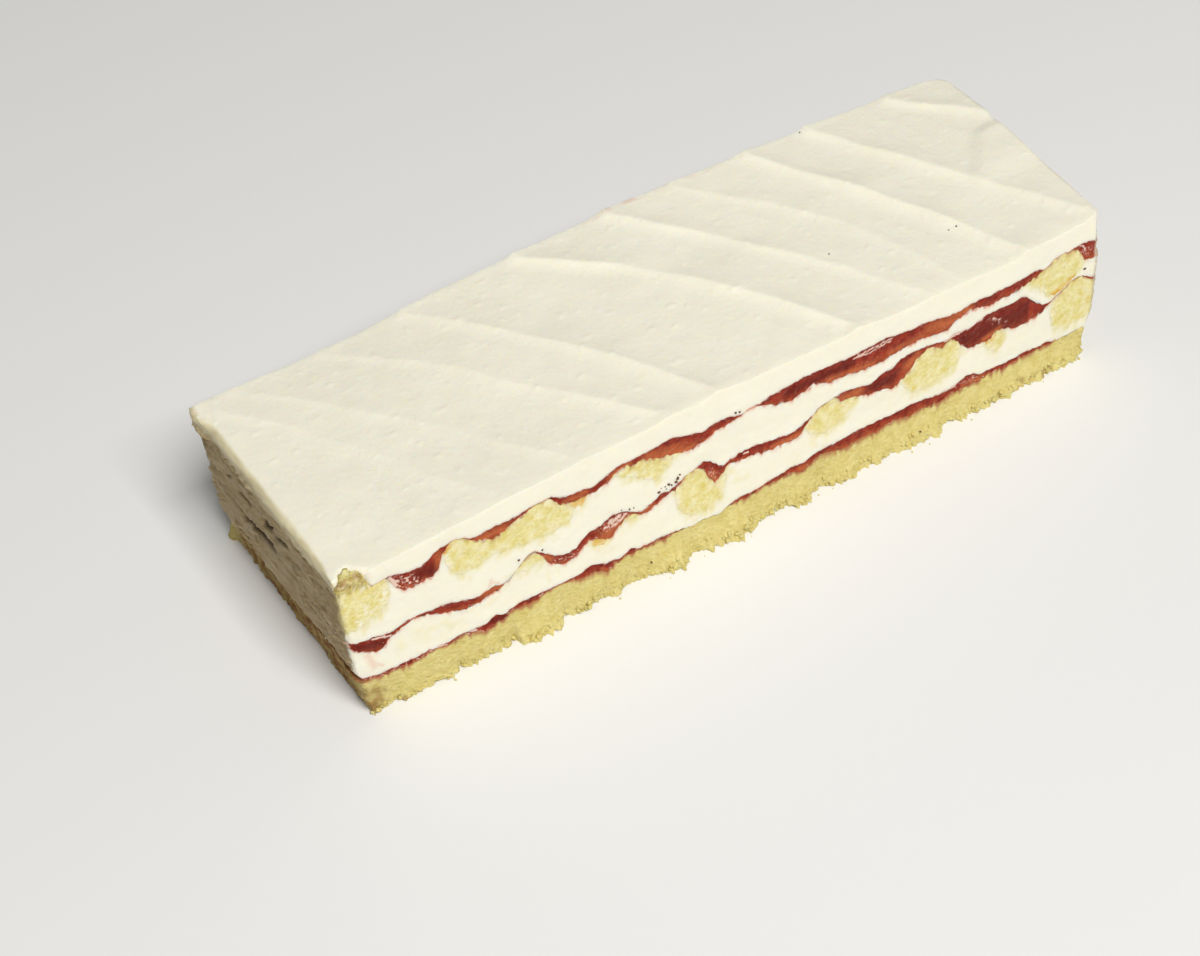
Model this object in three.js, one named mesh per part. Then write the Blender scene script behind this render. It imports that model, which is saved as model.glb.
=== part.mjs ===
// Strawberry cream cake: a long bar cut from a sheet cake.
//
// From the bottom up it is a sponge base, a thin jam layer, cream, jam, cream, jam and a
// thick cream top levelled with a palette knife. Broken pieces of sponge hang from the two upper
// jam layers into the cream below them. Every layer runs through from front to back.
//
// Millimetres, +Z up, X along the bar and the front cut at -Y. The origin is in the middle
// of the flat underside.

import * as THREE from "three";
import { mergeVertices } from "three/addons/utils/BufferGeometryUtils.js";

// Driving dimensions
const LENGTH = 260;
const WIDTH = 85;
const BASE_INSET = 2.5; // how far the cream hangs over each end of the base
const STATION_STEP = 4; // length of one cell along the bar
const LAYER_GAP = 0.3; // clearance between two layers
const JAM_FILM = 0.9; // jam where it is only smeared
const CREAM_FILM = 1.2; // thinnest cream between jam and sponge
const CHUNK_RIM = 0.9; // thickness of a sponge piece at its ends
const POOL_FULLNESS = 1; // 1 gives a round belly
const CHUNK_FULLNESS = 1.5; // more than 1 gives a squarer one
const WIPED_DROP = 1.5; // drop of the top along its left edge, which was wiped round
const LAYER_SLANT = -0.16; // drift of the layers along X for each millimetre towards the back
const END_LEAN = 3.5; // how much farther each end reaches at the back than in front
const SETTLING = 1.1; // how far the layers rise and sag at the back
const SETTLING_REACH = 19; // length of that wave, divided by 2 pi

const FRONT = -WIDTH / 2;
const BACK = WIDTH / 2;
const LEFT_END = -LENGTH / 2;
const RIGHT_END = LENGTH / 2;
const JAM_START = LEFT_END + 4 * STATION_STEP; // the top jam begins beside the corner sponge
const LOW_JAM_END = RIGHT_END - 3 * STATION_STEP;

const LAYER_ROWS = [FRONT, -14, 14, BACK];
const TOP_ROWS = [FRONT, -32, -21, -10, 0, 11, 22, 32, BACK];

// Turning points of the wavy lines on the front cut, as [x, z]: each is a crest or a dip.
const TOP_LINE = [[-130, 56.2], [-15, 57.8], [98, 52.6], [130, 54]];
const HIGH_JAM_LINE = [
  [-130, 54.4], [-107, 47.8], [-95, 51.8], [-88, 49], [-65, 50.2], [-50, 45.8],
  [-26, 49.4], [1, 45.6], [26, 47.5], [38, 46.2], [50, 47], [76, 43], [108, 43.4],
  [122, 45.8], [130, 44.8],
];
const MIDDLE_JAM_LINE = [
  [-130, 32], [-117, 28.8], [-110, 30.3], [-86, 25.4], [-72, 32.5], [-59, 24.8],
  [-44, 30.5], [-35, 26.2], [-13, 34], [-7, 28.2], [-1, 30.3], [17, 27.6], [32, 33.8],
  [45, 31.4], [60, 35.8], [79, 34.2], [95, 35.8], [113, 27.5], [126, 33], [130, 31],
];
const LOW_JAM_LINE = [
  [-130, 15.8], [-90, 13], [-86, 14.8], [-82, 13.4], [-54, 15.2], [-46, 11.6],
  [-40, 13.9], [-10, 9.6], [16, 13.2], [44, 14.6], [76, 12], [82, 14.5], [91, 11.4],
  [130, 9.8],
];

// The top edge of the back cut, where the cream was left thicker.
const BACK_TOP_LINE = [[-130, 57.3], [-80, 56.4], [-15, 59.2], [28, 60], [130, 54.4]];

// How far the torn foot of the base spreads out of each long cut, along the bar.
const FRONT_FOOT_LINE = [
  [-130, 0.4], [-103, 1], [-85, 0.5], [-74, 4.2], [-60, 1.2], [-46, 2.6], [-39, 0.8],
  [-26, 5.6], [-18, 2], [-6, 5.6], [11, 2], [18, 5], [26, 1.8], [33, 4.2], [41, 1.8],
  [68, 4.8], [74, 1.6], [96, 4.4], [101, 2.4], [108, 4], [130, 2.4],
];
const BACK_FOOT_LINE = [[-130, 1.5], [-90, 3.6], [-40, 2], [2, 5.6], [50, 2.2], [100, 3.6], [130, 2]];

// Pools of jam, as [from, to, deepest place, depth].
const HIGH_JAM_POOLS = [
  [-117, -98, -108, 6.4], [-90, -66, -82, 4], [-63, -46, -58, 3], [-34, 1, -18, 5],
  [6, 26, 18, 5.6], [22, 79, 45, 7.6], [74, 112, 94, 3.6], [120, 138, 129, 7.4],
];
const MIDDLE_JAM_POOLS = [
  [-134, -117, -122, 6], [-104, -80, -93, 3.8], [-70, -52, -63, 3.6], [-56, -37, -47, 5.6],
  [-36, -22, -28, 2], [-16, -5, -11, 8], [-5, 23, 12, 3.6], [33, 66, 52, 7.2],
  [66, 76, 70, 3], [76, 114, 99, 10.4],
];
const LOW_JAM_POOLS = [
  [-92, -82, -87, 3.6], [-82, -70, -75, 2.8], [-62, -45, -51, 4], [10, 26, 19, 3],
  [22, 76, 45, 4], [75, 89, 81, 4.2], [86, 118, 100, 1.8],
];

// Sponge pieces under the two upper jam layers, as [from, to, deepest place, depth]. The
// first and the last are cut through by the ends of the bar.
const HIGH_CHUNKS = [
  [-146, -114, -122, 17], [-98, -58, -66, 13], [-42, -22, -31, 9.5], [102, 126, 112, 12],
];
const MIDDLE_CHUNKS = [
  [-82, -66, -72, 7], [-26, -6, -16, 17.5], [22, 42, 31, 13], [54, 82, 68, 15.5],
  [90, 98, 94, 9], [114, 146, 124, 17.5],
];

// Ridges where one stroke of the palette knife stopped and the next began. Each is the x
// where its crest crosses the five lines of RIDGE_ROWS, then its height behind and in front.
const RIDGE_ROWS = [40, 20, 0, -20, -40];
const RIDGES = [
  [[-118, -100, -83, -69, -54], 0.4, 0.5], [[-92, -70, -56, -41, -25], 0.4, 1.3],
  [[-64, -48, -33, -20, -8], 0.8, 1.9], [[-26, -3, 14, 28.5, 40], 1.6, 1.7],
  [[6, 24, 40, 55, 67], 1.5, 0.7], [[31, 50, 65, 73, 79], 0.8, 0.5],
  [[58, 71.5, 83, 93.5, 102.5], 1.8, 2], [[82, 95, 106.5, 118, 128], 1.7, 1.6],
  [[112, 132, 149, 162, 174], 1.4, 1.3],
];
const RIDGE_BANK = 9; // length of the bank that climbs to a crest
const RIDGE_SLOPE = 9; // length over which the far side falls away

function creamMaterial() {
  return new THREE.MeshStandardMaterial({ color: 0xf3edd9, roughness: 0.6, metalness: 0 });
}

function jamMaterial() {
  return new THREE.MeshStandardMaterial({ color: 0x8f2f24, roughness: 0.3, metalness: 0 });
}

function spongeMaterial() {
  return new THREE.MeshStandardMaterial({ color: 0xe4d58d, roughness: 0.9, metalness: 0 });
}

function soakedSpongeMaterial() {
  return new THREE.MeshStandardMaterial({ color: 0xeee2a6, roughness: 0.85, metalness: 0 });
}

// Height at x of a wavy line that levels off at each of its turning points.
function heightOn(line, x) {
  const next = line.findIndex(([place]) => place >= x);
  if (next <= 0) {
    return line[0][1];
  }
  const [x0, z0] = line[next - 1];
  const [x1, z1] = line[next];
  return THREE.MathUtils.lerp(z0, z1, THREE.MathUtils.smoothstep(x, x0, x1));
}

// Depth at x of a pool or a piece: 0 at both ends, with a belly at its deepest place.
function belly([from, to, deepest, depth], x, fullness) {
  if (x <= from || x >= to) {
    return 0;
  }
  const end = x < deepest ? from : to;
  const outward = (x - deepest) / (end - deepest);
  return depth * (1 - outward ** (2 * fullness)) ** (1 / (2 * fullness));
}

function jamDepth(pools, x) {
  return Math.max(JAM_FILM, ...pools.map((pool) => belly(pool, x, POOL_FULLNESS)));
}

function chunkAt(chunks, x) {
  return chunks.find(([from, to]) => x >= from && x <= to);
}

// 0 on the front cut and 1 on the back cut.
function towardsBack(y) {
  return (y - FRONT) / WIDTH;
}

// The layers sag and rise a little towards the back.
function settling(x, y) {
  return SETTLING * towardsBack(y) * Math.sin(1 + x / SETTLING_REACH);
}

// Where a crest crosses the bar at y.
function crestPlace(places, y) {
  const spacing = RIDGE_ROWS[0] - RIDGE_ROWS[1];
  const row = THREE.MathUtils.clamp((RIDGE_ROWS[0] - y) / spacing, 0, places.length - 1);
  const before = Math.min(Math.floor(row), places.length - 2);
  return THREE.MathUtils.lerp(places[before], places[before + 1], row - before);
}

function ridgeHeight(x, y) {
  let sum = 0;
  for (const [places, heightBehind, heightInFront] of RIDGES) {
    const past = x - crestPlace(places, y);
    const height = THREE.MathUtils.lerp(heightInFront, heightBehind, towardsBack(y));
    if (past >= 0) {
      sum += height * Math.exp(-past / RIDGE_SLOPE);
    } else if (past > -RIDGE_BANK) {
      sum += height * (1 + past / RIDGE_BANK) ** 2;
    }
  }
  return sum;
}

// The surfaces between the layers, from the top down. Each is a height over (x, y).
function cakeTop(x, y) {
  const level = THREE.MathUtils.lerp(heightOn(TOP_LINE, x), heightOn(BACK_TOP_LINE, x), towardsBack(y));
  return level + ridgeHeight(x + drift(x, y), y) - (x === LEFT_END ? WIPED_DROP : 0);
}

function highJamTop(x, y) {
  return heightOn(HIGH_JAM_LINE, x) + settling(x, y);
}

function highJamFloor(x, y) {
  return highJamTop(x, y) - (x < JAM_START ? 0 : jamDepth(HIGH_JAM_POOLS, x));
}

function highChunkFloor(x, y) {
  return chunkFloor(HIGH_CHUNKS, highJamFloor, middleJamTop, x, y);
}

function middleJamTop(x, y) {
  return heightOn(MIDDLE_JAM_LINE, x) + settling(x, y);
}

function middleJamFloor(x, y) {
  return middleJamTop(x, y) - jamDepth(MIDDLE_JAM_POOLS, x);
}

function middleChunkFloor(x, y) {
  return chunkFloor(MIDDLE_CHUNKS, middleJamFloor, lowJamTop, x, y);
}

function lowJamTop(x, y) {
  return heightOn(LOW_JAM_LINE, x) + settling(x, y);
}

function lowJamFloor(x, y) {
  return lowJamTop(x, y) - (x > LOW_JAM_END ? 0 : jamDepth(LOW_JAM_POOLS, x));
}

// Underside of the sponge pieces, or of the jam where there is no piece. It stays clear of
// the layer below.
function chunkFloor(chunks, ceiling, floorBelow, x, y) {
  const chunk = chunkAt(chunks, x);
  if (!chunk) {
    return ceiling(x, y);
  }
  const hanging = ceiling(x, y) - Math.max(CHUNK_RIM, belly(chunk, x, CHUNK_FULLNESS));
  return Math.max(hanging, floorBelow(x, y) + CREAM_FILM);
}

// The stations of the stack lean along the bar towards the back, but not at its ends. The
// cuts of the ends aren't quite square, so the bar is a little longer behind.
function drift(x, y) {
  const place = x / RIGHT_END;
  const lean = END_LEAN * towardsBack(y) * place ** 9;
  return LAYER_SLANT * (y - FRONT) * (1 - place ** 2) + lean;
}

// Splits the cells of a box's lowest face, which is the last of its six groups, along the
// same diagonals as those of its highest face. A layer then meets the one below without
// crossing it.
function turnUndersideDiagonals(box) {
  const { start, count } = box.groups.at(-1);
  const index = box.index.array;
  for (let i = start; i < start + count; i += 6) {
    const [a, b, d, , c] = index.slice(i, i + 6);
    index.set([a, b, c, a, c, d], i);
  }
}

// A layer is a box of many cells whose upper and lower corners are moved onto two surfaces.
function layer(name, material, options) {
  const { from, to, upper, lower, rows = LAYER_ROWS, foot = () => 0, inset = 0 } = options;
  const cells = Math.round((to - from) / STATION_STEP);
  const box = new THREE.BoxGeometry(1, 1, 1, cells, rows.length - 1, 1);
  turnUndersideDiagonals(box);
  box.deleteAttribute("normal");
  box.deleteAttribute("uv");
  const geometry = mergeVertices(box);
  const corner = geometry.attributes.position;
  for (let i = 0; i < corner.count; i += 1) {
    const station = from + STATION_STEP * Math.round((corner.getX(i) + 0.5) * cells);
    const x = THREE.MathUtils.clamp(station, LEFT_END + inset, RIGHT_END - inset);
    const y = rows[Math.round((corner.getY(i) + 0.5) * (rows.length - 1))];
    const isUpper = corner.getZ(i) > 0;
    const z = isUpper ? upper(x, y) - LAYER_GAP / 2 : lower(x, y);
    corner.setXYZ(i, x + drift(x, y), y + (isUpper ? 0 : foot(x, y)), z);
  }
  geometry.computeVertexNormals();
  const mesh = new THREE.Mesh(geometry, material);
  mesh.name = name;
  return mesh;
}

// A surface lifted by half the gap, as the underside of the layer that rests on it.
function above(surface) {
  return (x, y) => surface(x, y) + LAYER_GAP / 2;
}

// How far the foot of the base lies out of the cut, along Y.
function footShift(x, y) {
  if (y === FRONT) {
    return -heightOn(FRONT_FOOT_LINE, x);
  }
  return y === BACK ? heightOn(BACK_FOOT_LINE, x) : 0;
}

function baseSponge() {
  return layer("base_sponge", spongeMaterial(), {
    from: LEFT_END,
    to: RIGHT_END,
    upper: lowJamFloor,
    lower: () => 0,
    foot: footShift,
    inset: BASE_INSET,
  });
}

function jamLayer(name, from, to, upper, floor) {
  return layer(name, jamMaterial(), { from, to, upper, lower: above(floor) });
}

function creamLayer(name, upper, floor, rows) {
  const lower = above(floor);
  return layer(name, creamMaterial(), { from: LEFT_END, to: RIGHT_END, rows, upper, lower });
}

function spongePieces(name, chunks, ceiling, floor) {
  return chunks.map(([from, to], index) =>
    layer(`${name}_${index + 1}`, soakedSpongeMaterial(), {
      from: Math.max(from, LEFT_END),
      to: Math.min(to, RIGHT_END),
      upper: ceiling,
      lower: above(floor),
    }),
  );
}

const cake = new THREE.Group();
cake.add(baseSponge());
cake.add(jamLayer("jam_low", LEFT_END, LOW_JAM_END, lowJamTop, lowJamFloor));
cake.add(creamLayer("cream_low", middleChunkFloor, lowJamTop, LAYER_ROWS));
cake.add(...spongePieces("sponge_low", MIDDLE_CHUNKS, middleJamFloor, middleChunkFloor));
cake.add(jamLayer("jam_middle", LEFT_END, RIGHT_END, middleJamTop, middleJamFloor));
cake.add(creamLayer("cream_middle", highChunkFloor, middleJamTop, LAYER_ROWS));
cake.add(...spongePieces("sponge_high", HIGH_CHUNKS, highJamFloor, highChunkFloor));
cake.add(jamLayer("jam_high", JAM_START, RIGHT_END, highJamTop, highJamFloor));
cake.add(creamLayer("cream_top", cakeTop, highJamTop, TOP_ROWS));

export default cake;
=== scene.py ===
# %% [markdown]
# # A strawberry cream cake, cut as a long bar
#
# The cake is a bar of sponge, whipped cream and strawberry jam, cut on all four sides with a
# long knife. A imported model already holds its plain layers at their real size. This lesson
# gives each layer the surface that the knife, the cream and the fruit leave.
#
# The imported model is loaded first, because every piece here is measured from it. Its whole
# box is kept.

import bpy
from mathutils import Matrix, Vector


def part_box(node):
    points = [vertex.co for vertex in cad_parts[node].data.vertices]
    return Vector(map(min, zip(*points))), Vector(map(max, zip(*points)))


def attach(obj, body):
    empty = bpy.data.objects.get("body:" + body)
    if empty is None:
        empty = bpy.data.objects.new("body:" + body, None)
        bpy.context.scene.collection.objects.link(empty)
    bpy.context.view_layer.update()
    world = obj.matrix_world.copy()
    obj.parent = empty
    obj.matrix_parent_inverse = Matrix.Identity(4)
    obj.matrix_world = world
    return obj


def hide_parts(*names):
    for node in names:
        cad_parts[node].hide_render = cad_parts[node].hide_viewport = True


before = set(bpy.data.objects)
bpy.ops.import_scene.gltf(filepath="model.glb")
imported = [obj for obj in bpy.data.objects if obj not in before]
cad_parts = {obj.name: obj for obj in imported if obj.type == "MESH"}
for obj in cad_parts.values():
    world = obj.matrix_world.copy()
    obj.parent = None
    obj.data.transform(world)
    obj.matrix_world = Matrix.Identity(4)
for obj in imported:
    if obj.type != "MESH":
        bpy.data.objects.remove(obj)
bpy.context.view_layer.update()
print("nodes:", ", ".join(sorted(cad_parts)))

# %% Modules
import math
import random
from functools import partial

import bmesh
import bpy
from mathutils import Matrix, Vector, noise

# %% [markdown]
# ## The size of the cake
#
# Blender works in metres here, but a baker thinks in millimetres. Every size below is in
# millimetres, and one factor turns it into metres when a mesh is finished. The length and
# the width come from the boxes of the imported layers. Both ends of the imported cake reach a
# little farther at the back than in front, and the length is measured along the front.

# %% Sizes
MM = 0.001
TINY = 1e-6
END_LEAN = 3.5  # how much farther each packed end reaches at the back
BASE_INSET = 2.5  # how much shorter the base is at each end


def far_corner(node):
    """The corner of a layer's box that lies farthest right, back and up."""
    return Vector(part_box(node)[1]) / MM


slab = far_corner("cream_top")
HALF_LENGTH = slab.x - END_LEAN
LENGTH = 2 * HALF_LENGTH
HALF_WIDTH = slab.y
FRONT = -HALF_WIDTH
BACK = HALF_WIDTH
FOOT_SPREAD = far_corner("base_sponge").y - HALF_WIDTH
BASE_HALF_LENGTH = HALF_LENGTH - BASE_INSET
print(f"cake {LENGTH:.0f} x {2 * HALF_WIDTH:.0f} mm, foot spreads {FOOT_SPREAD:.1f} mm")

# %% [markdown]
# ## The camera
#
# The cake is seen from above its near left corner, with a long lens that keeps the far end
# from shrinking. The camera is set by where it aims and by the direction from there to the
# camera, because those are the values that one turns when framing a view.

# %% Camera
AIM = Vector((-29.8, -7.8, 7.6))
AZIMUTH = math.radians(-27.43)
ELEVATION = math.radians(45.9)
ROLL = math.radians(-5.99)
DISTANCE = 697
LENS_MM = 69

camera = bpy.data.objects.new("camera", bpy.data.cameras.new("camera"))
bpy.context.collection.objects.link(camera)
camera.data.lens = LENS_MM
turn = Matrix.Rotation(AZIMUTH, 4, "Z") @ Matrix.Rotation(math.pi / 2 - ELEVATION, 4, "X")
turn = turn @ Matrix.Rotation(ROLL, 4, "Z")
toward_camera = turn.to_3x3() @ Vector((0, 0, 1))
camera.matrix_world = Matrix.Translation((AIM + DISTANCE * toward_camera) * MM) @ turn
bpy.context.scene.camera = camera
print("camera stands at", [round(value, 3) for value in camera.matrix_world.translation])

# %% [markdown]
# ## Two small tools
#
# Nearly every shape and colour below is a blend of two values, or a soft step from one to
# the other. These two functions do both, and keep the later cells short. The first two
# numbers of a soft step are where it begins and where it ends, and the larger may come
# first. Most of the ragged lines are noise: there a place is divided by the width of the
# lumps in millimetres, and a bare last number is only a seed.

# %% Blend and soft step
def mix(a, b, share):
    return a + (b - a) * share


def ease(low, high, value):
    """0 at low, 1 at high, and a smooth rise between them."""
    share = min(max((value - low) / (high - low), 0), 1)
    return share * share * (3 - 2 * share)


print("a third of the way up a soft step:", round(ease(0, 3, 1), 2))

# %% [markdown]
# ## The jam on the cut
#
# Jam that was spread by hand fills the hollows of the cream and thins out over the broken
# sponge. On the cut each spread shows as a wavy band: crisp and dark above, ragged below.
# Each band is written as stations along the cake, counted from its left end, with the
# height of the jam's top and floor at each. A list like this is easy to read and change,
# and the same line serves the layer above and the layer below, so no gap opens.

# %% Bands of jam
HIGH_JAM = [  # station, top, floor
    (15, 50.2, 49.8), (16, 50, 47), (17.5, 49.6, 43.4), (20, 48.6, 42.2), (24, 47.8, 42),
    (27, 48.8, 42.1), (30, 50.5, 43), (31.2, 50.8, 47.4), (34, 51.2, 50.6), (36, 52, 51.8),
    (40, 50, 49.6), (41.5, 48.8, 47.6), (44, 49, 46.2), (48, 49.6, 45.2), (52, 49.2, 46.2),
    (56, 49.3, 47.9), (61, 50, 49.5), (66, 50, 49.8), (67.5, 49.6, 47.8), (70, 47.2, 44.4),
    (74, 46.8, 43.8), (80, 45.8, 43.4), (83, 47.2, 44.4), (87, 48.4, 46.4), (91, 48.9, 47.3),
    (97, 48.5, 45.6), (102, 49.2, 44.2), (106, 49.5, 43), (110, 48, 41.6), (113, 47.2, 41),
    (117, 45.8, 42.2), (120, 47, 43.5), (125, 46.8, 43.9), (130, 45.2, 44.8), (133, 46, 45.7),
    (136.5, 46.2, 45.4), (139, 47.1, 43.6), (143, 47, 41.6), (148, 47.2, 40.6), (152, 47.7, 42.1),
    (155.5, 47.5, 43.2), (158, 47.2, 41.8), (162, 47.1, 40.1), (168, 46.3, 39.4), (175, 46.8, 38.1),
    (180, 47, 38.4), (185, 46.2, 39), (190, 45.2, 39.6), (197, 45, 39), (201, 43.9, 37.8),
    (204, 43.2, 37.7), (207.5, 43, 40.4), (212, 43.8, 40.9), (216, 43.7, 40.3), (221, 43.3, 39.2),
    (227, 43.2, 39), (233, 43.4, 39.9), (238, 43.7, 41.2), (240, 42.4, 42), (245, 45.3, 44.8),
    (250, 45.3, 44.9), (253, 46, 44.2), (256, 45.6, 38.4), (259, 44.8, 37.3), (260, 43.8, 37.6),
]
MIDDLE_JAM = [
    (0, 32.4, 30.8), (1.5, 31.6, 28.5), (3, 31, 26.9), (5, 30.6, 25.2), (8, 30.1, 23.8),
    (10.5, 29.2, 23.7), (11.8, 28.9, 26.4), (12.6, 28.8, 28), (14, 28.8, 27.3), (16, 29.5, 28),
    (18, 30.2, 29.1), (21, 30.2, 29.4), (24, 29.6, 28.2), (27, 29.2, 27.2), (30, 29, 25.8),
    (33, 28, 24), (36, 26.7, 22.8), (39, 25.6, 23.1), (42, 26, 23.5), (45.5, 26.9, 23.8),
    (48, 25.3, 24.6), (50, 25.6, 25.4), (53, 28.6, 28.2), (56, 31.6, 31.2), (58.5, 32.6, 32.1),
    (61, 31, 29.4), (63, 29, 25), (66, 26, 22), (69, 24.8, 21), (72, 25.2, 21.6),
    (74, 26.6, 23.2), (76, 28.5, 25), (79, 28.8, 24.8), (82, 29.6, 22.2), (84, 30.8, 22.6),
    (87, 30.6, 24.8), (90, 29.6, 27.4), (92.5, 27.6, 26.8), (95, 26.3, 25), (98, 27.6, 25.2),
    (100, 29, 26.9), (102, 30, 27.6), (104, 29.3, 28), (107, 30.3, 28.6), (110, 32, 31.6),
    (114, 33.2, 32.8), (116, 34, 31.2), (117.2, 33.8, 27.2), (118.6, 32.4, 23.8), (120, 30.6, 22.9),
    (121.6, 29.1, 24.2), (123.5, 28.2, 27.7), (125, 29.8, 27.6), (130, 30.4, 27.2), (135, 30, 26.1),
    (140, 28.8, 25.3), (145, 27.9, 24.7), (149, 28.3, 24.6), (151.4, 29.2, 25.4), (152.5, 29.4, 28.2),
    (155, 30.6, 30.2), (157, 33, 32.7), (160, 33, 32.8), (163.6, 33.5, 33.2), (164.6, 33.8, 30.2),
    (167, 33.6, 29.8), (171, 32.8, 29.2), (175, 31.5, 27.4), (178, 32.5, 26), (181, 33.3, 26.2),
    (183.6, 33.1, 25), (184.8, 35, 25), (188, 35.8, 27.4), (191, 35.5, 30.4), (194, 35.3, 32.6),
    (197, 35.4, 34.8), (200, 34.5, 32.6), (202, 33.8, 31), (205, 34.2, 33.6), (207, 34.5, 32),
    (209, 34.3, 28.4), (212, 33.9, 26), (215, 34.6, 24.7), (219, 36, 24.5), (222, 35.7, 26.6),
    (224.5, 35.5, 27.5), (227, 35.1, 25.6), (229.5, 35.1, 23.9), (231.5, 35.6, 23.7), (234, 35, 24.1),
    (236, 32.6, 24.3), (238, 30.2, 24.3), (240.5, 28.6, 24.8), (242.5, 27.6, 26.4), (245, 28.6, 28.2),
    (248, 30.2, 29.9), (252, 32.6, 32.3), (255, 32.4, 32.1), (257.5, 31.2, 30.7), (260, 29.3, 28),
]
LOW_JAM = [
    (0, 14.9, 14.6), (4, 14.9, 13.8), (6, 14.7, 13.2), (10, 14.6, 12.8), (11.8, 14.2, 13.5),
    (14, 14.5, 12.8), (18, 14, 12.8), (22, 14.3, 13), (25, 13.9, 13.3), (28, 13.5, 12.3),
    (33, 14, 12.9), (38, 13.3, 11.8), (41, 13, 10.6), (44.4, 14.8, 11), (47, 13, 11.1),
    (50, 13.8, 12.6), (52, 14.7, 12.8), (57, 14.5, 11.9), (60, 14.2, 13.3), (66, 14, 13.5),
    (70, 13.8, 12.8), (73, 14, 11.8), (76, 15.2, 11.8), (79, 14, 10.5), (81, 12.6, 8.8),
    (83, 12.7, 9.4), (85.5, 11.9, 11.2), (88, 12.5, 11.2), (90.2, 14.2, 11.4), (91.6, 12.2, 11.4),
    (96, 11.8, 11), (100, 12.6, 11), (103, 11.4, 9.9), (107, 11.3, 10.9), (110, 10.2, 9.9),
    (115, 10.6, 10.3), (121, 9.2, 9), (124, 11, 10.7), (128, 11.8, 10.1), (132, 11.5, 10.3),
    (138, 12.2, 11), (143, 13, 11.3), (147, 13.7, 11), (150, 12.6, 9.2), (152, 13.3, 9.6),
    (154, 14.2, 11.5), (158, 14.5, 12), (162, 14, 10.6), (166, 14.2, 10), (170, 14.7, 10.3),
    (175, 14.3, 10), (180, 14.3, 10.2), (185, 13.6, 10.8), (190, 14.2, 9.6), (195, 13.5, 9.8),
    (200, 12.5, 8.7), (204, 12.3, 9.1), (208, 12.8, 10.3), (211, 14.3, 10), (214.5, 14, 9.4),
    (217, 12.1, 9.4), (222, 12, 10), (228, 11.2, 9.4), (235, 11.4, 9.9), (240, 11.1, 9.7),
    (244, 11, 9.2), (246.6, 9.9, 9.4), (250, 9.6, 9.4), (260, 10, 9.8),
]
TOP_LINE = [  # station, height at the front cut, height at the back cut
    (0, 56.2, 57.3), (35, 56.8, 56.6), (60, 57.2, 56.4), (90, 57.4, 58.9), (115, 57.4, 58.9),
    (155, 56.2, 60.1), (185, 54.4, 58.6), (228, 52.3, 56.1), (245, 53.2, 54.7), (260, 54, 54.3),
]
for name, line in (("high", HIGH_JAM), ("middle", MIDDLE_JAM), ("low", LOW_JAM)):
    print(name, "jam: deepest", round(max(top - floor for _, top, floor in line), 1), "mm")

# %% [markdown]
# A line runs straight from station to station. Jam has no kinks, so the height is read at
# three places close together, and their mean is taken.

# %% Reading a line
SOFTENING = 0.8  # how far apart the three places are


def read_line(line, station, column):
    """The height on a line, straight from each station to the next."""
    for left, right in zip(line, line[1:]):
        if station <= right[0]:
            share = max((station - left[0]) / (right[0] - left[0]), 0)
            return mix(left[column], right[column], share)
    return line[-1][column]


def height_on(line, station, column=1):
    """The same height with its corners softened."""
    near = [read_line(line, station + step, column) for step in (-SOFTENING, 0, SOFTENING)]
    return sum(near) / 3


print("the front top edge, halfway along:", round(height_on(TOP_LINE, 130), 1), "mm high")

# %% [markdown]
# ## From lines to surfaces
#
# Each line becomes a surface over the whole cake. Towards the back the heights settle, in
# long waves, and the whole pattern drifts along the bar, as it does where jam was spread
# with slanting strokes, so the back cut isn't a copy of the front one. The two ends lean
# outwards there, as the knife wasn't held quite square. A ragged wobble keeps every boundary
# from looking drawn.

# %% Settling, drift and wobble
SETTLING = 1.1  # the height of the waves
SETTLING_REACH = 19  # a sixth of their length
LAYER_SLANT = -0.16  # how far the pattern drifts for each millimetre of depth
LEFT_LEAN = 2.4  # how much farther each end reaches at the back
RIGHT_LEAN = 5
LEAN_POWER = 9  # high, so that only the ends lean
WOBBLE = 0.28  # how ragged every boundary is


def depth_share(y):
    """0 on the front cut and 1 on the back cut."""
    return (y - FRONT) / (BACK - FRONT)


def settling(x, y, seed):
    wave = SETTLING * math.sin(1 + x / SETTLING_REACH)
    return depth_share(y) * (wave + 2.4 * noise.noise((x / 18, y / 25, seed)))


def drift(x, y):
    """How far a place on the front cut has moved along the cake when it comes to y."""
    place = x / HALF_LENGTH
    share = depth_share(y)
    lean = RIGHT_LEAN * (1 - (1 - share) ** 2) if x > 0 else LEFT_LEAN * share
    return LAYER_SLANT * (y - FRONT) * (1 - place ** 2) + lean * place ** LEAN_POWER


def wobble(x, y, seed):
    coarse = noise.noise((x / 3.5, y / 5, seed))
    fine = noise.noise((x / 1.1, y / 2, seed + 20))
    return WOBBLE * (coarse + 1.9 * fine)


print("halfway along, the pattern drifts", round(-drift(0, BACK), 1), "mm to the left by the back")

# %% [markdown]
# The top of a jam is its line with all of that added, and its floor lies one thickness lower.
# The lowest jam lifts at the near left corner, where the knife pulled it.

# %% Faces of the jam
LOW_CALM = 0.35  # the lowest jam settles less than the others
CORNER_LIFT = 4.4  # at the end itself
LIFT_REACH = 2.2  # over this distance it falls to about a third
THINNEST_JAM = 0.04  # thin enough to vanish, and thick enough to keep its two faces apart


def corner_lift(x, y):
    near_end = math.exp(-(x + HALF_LENGTH) / LIFT_REACH)
    return CORNER_LIFT * near_end * (1 - 0.9 * depth_share(y))


def jam_top(line, seed, x, y):
    calm = LOW_CALM if line is LOW_JAM else 1
    height = height_on(line, x + HALF_LENGTH) + calm * settling(x, y, seed) + wobble(x, y, seed)
    return height + corner_lift(x, y) if line is LOW_JAM else height


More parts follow.
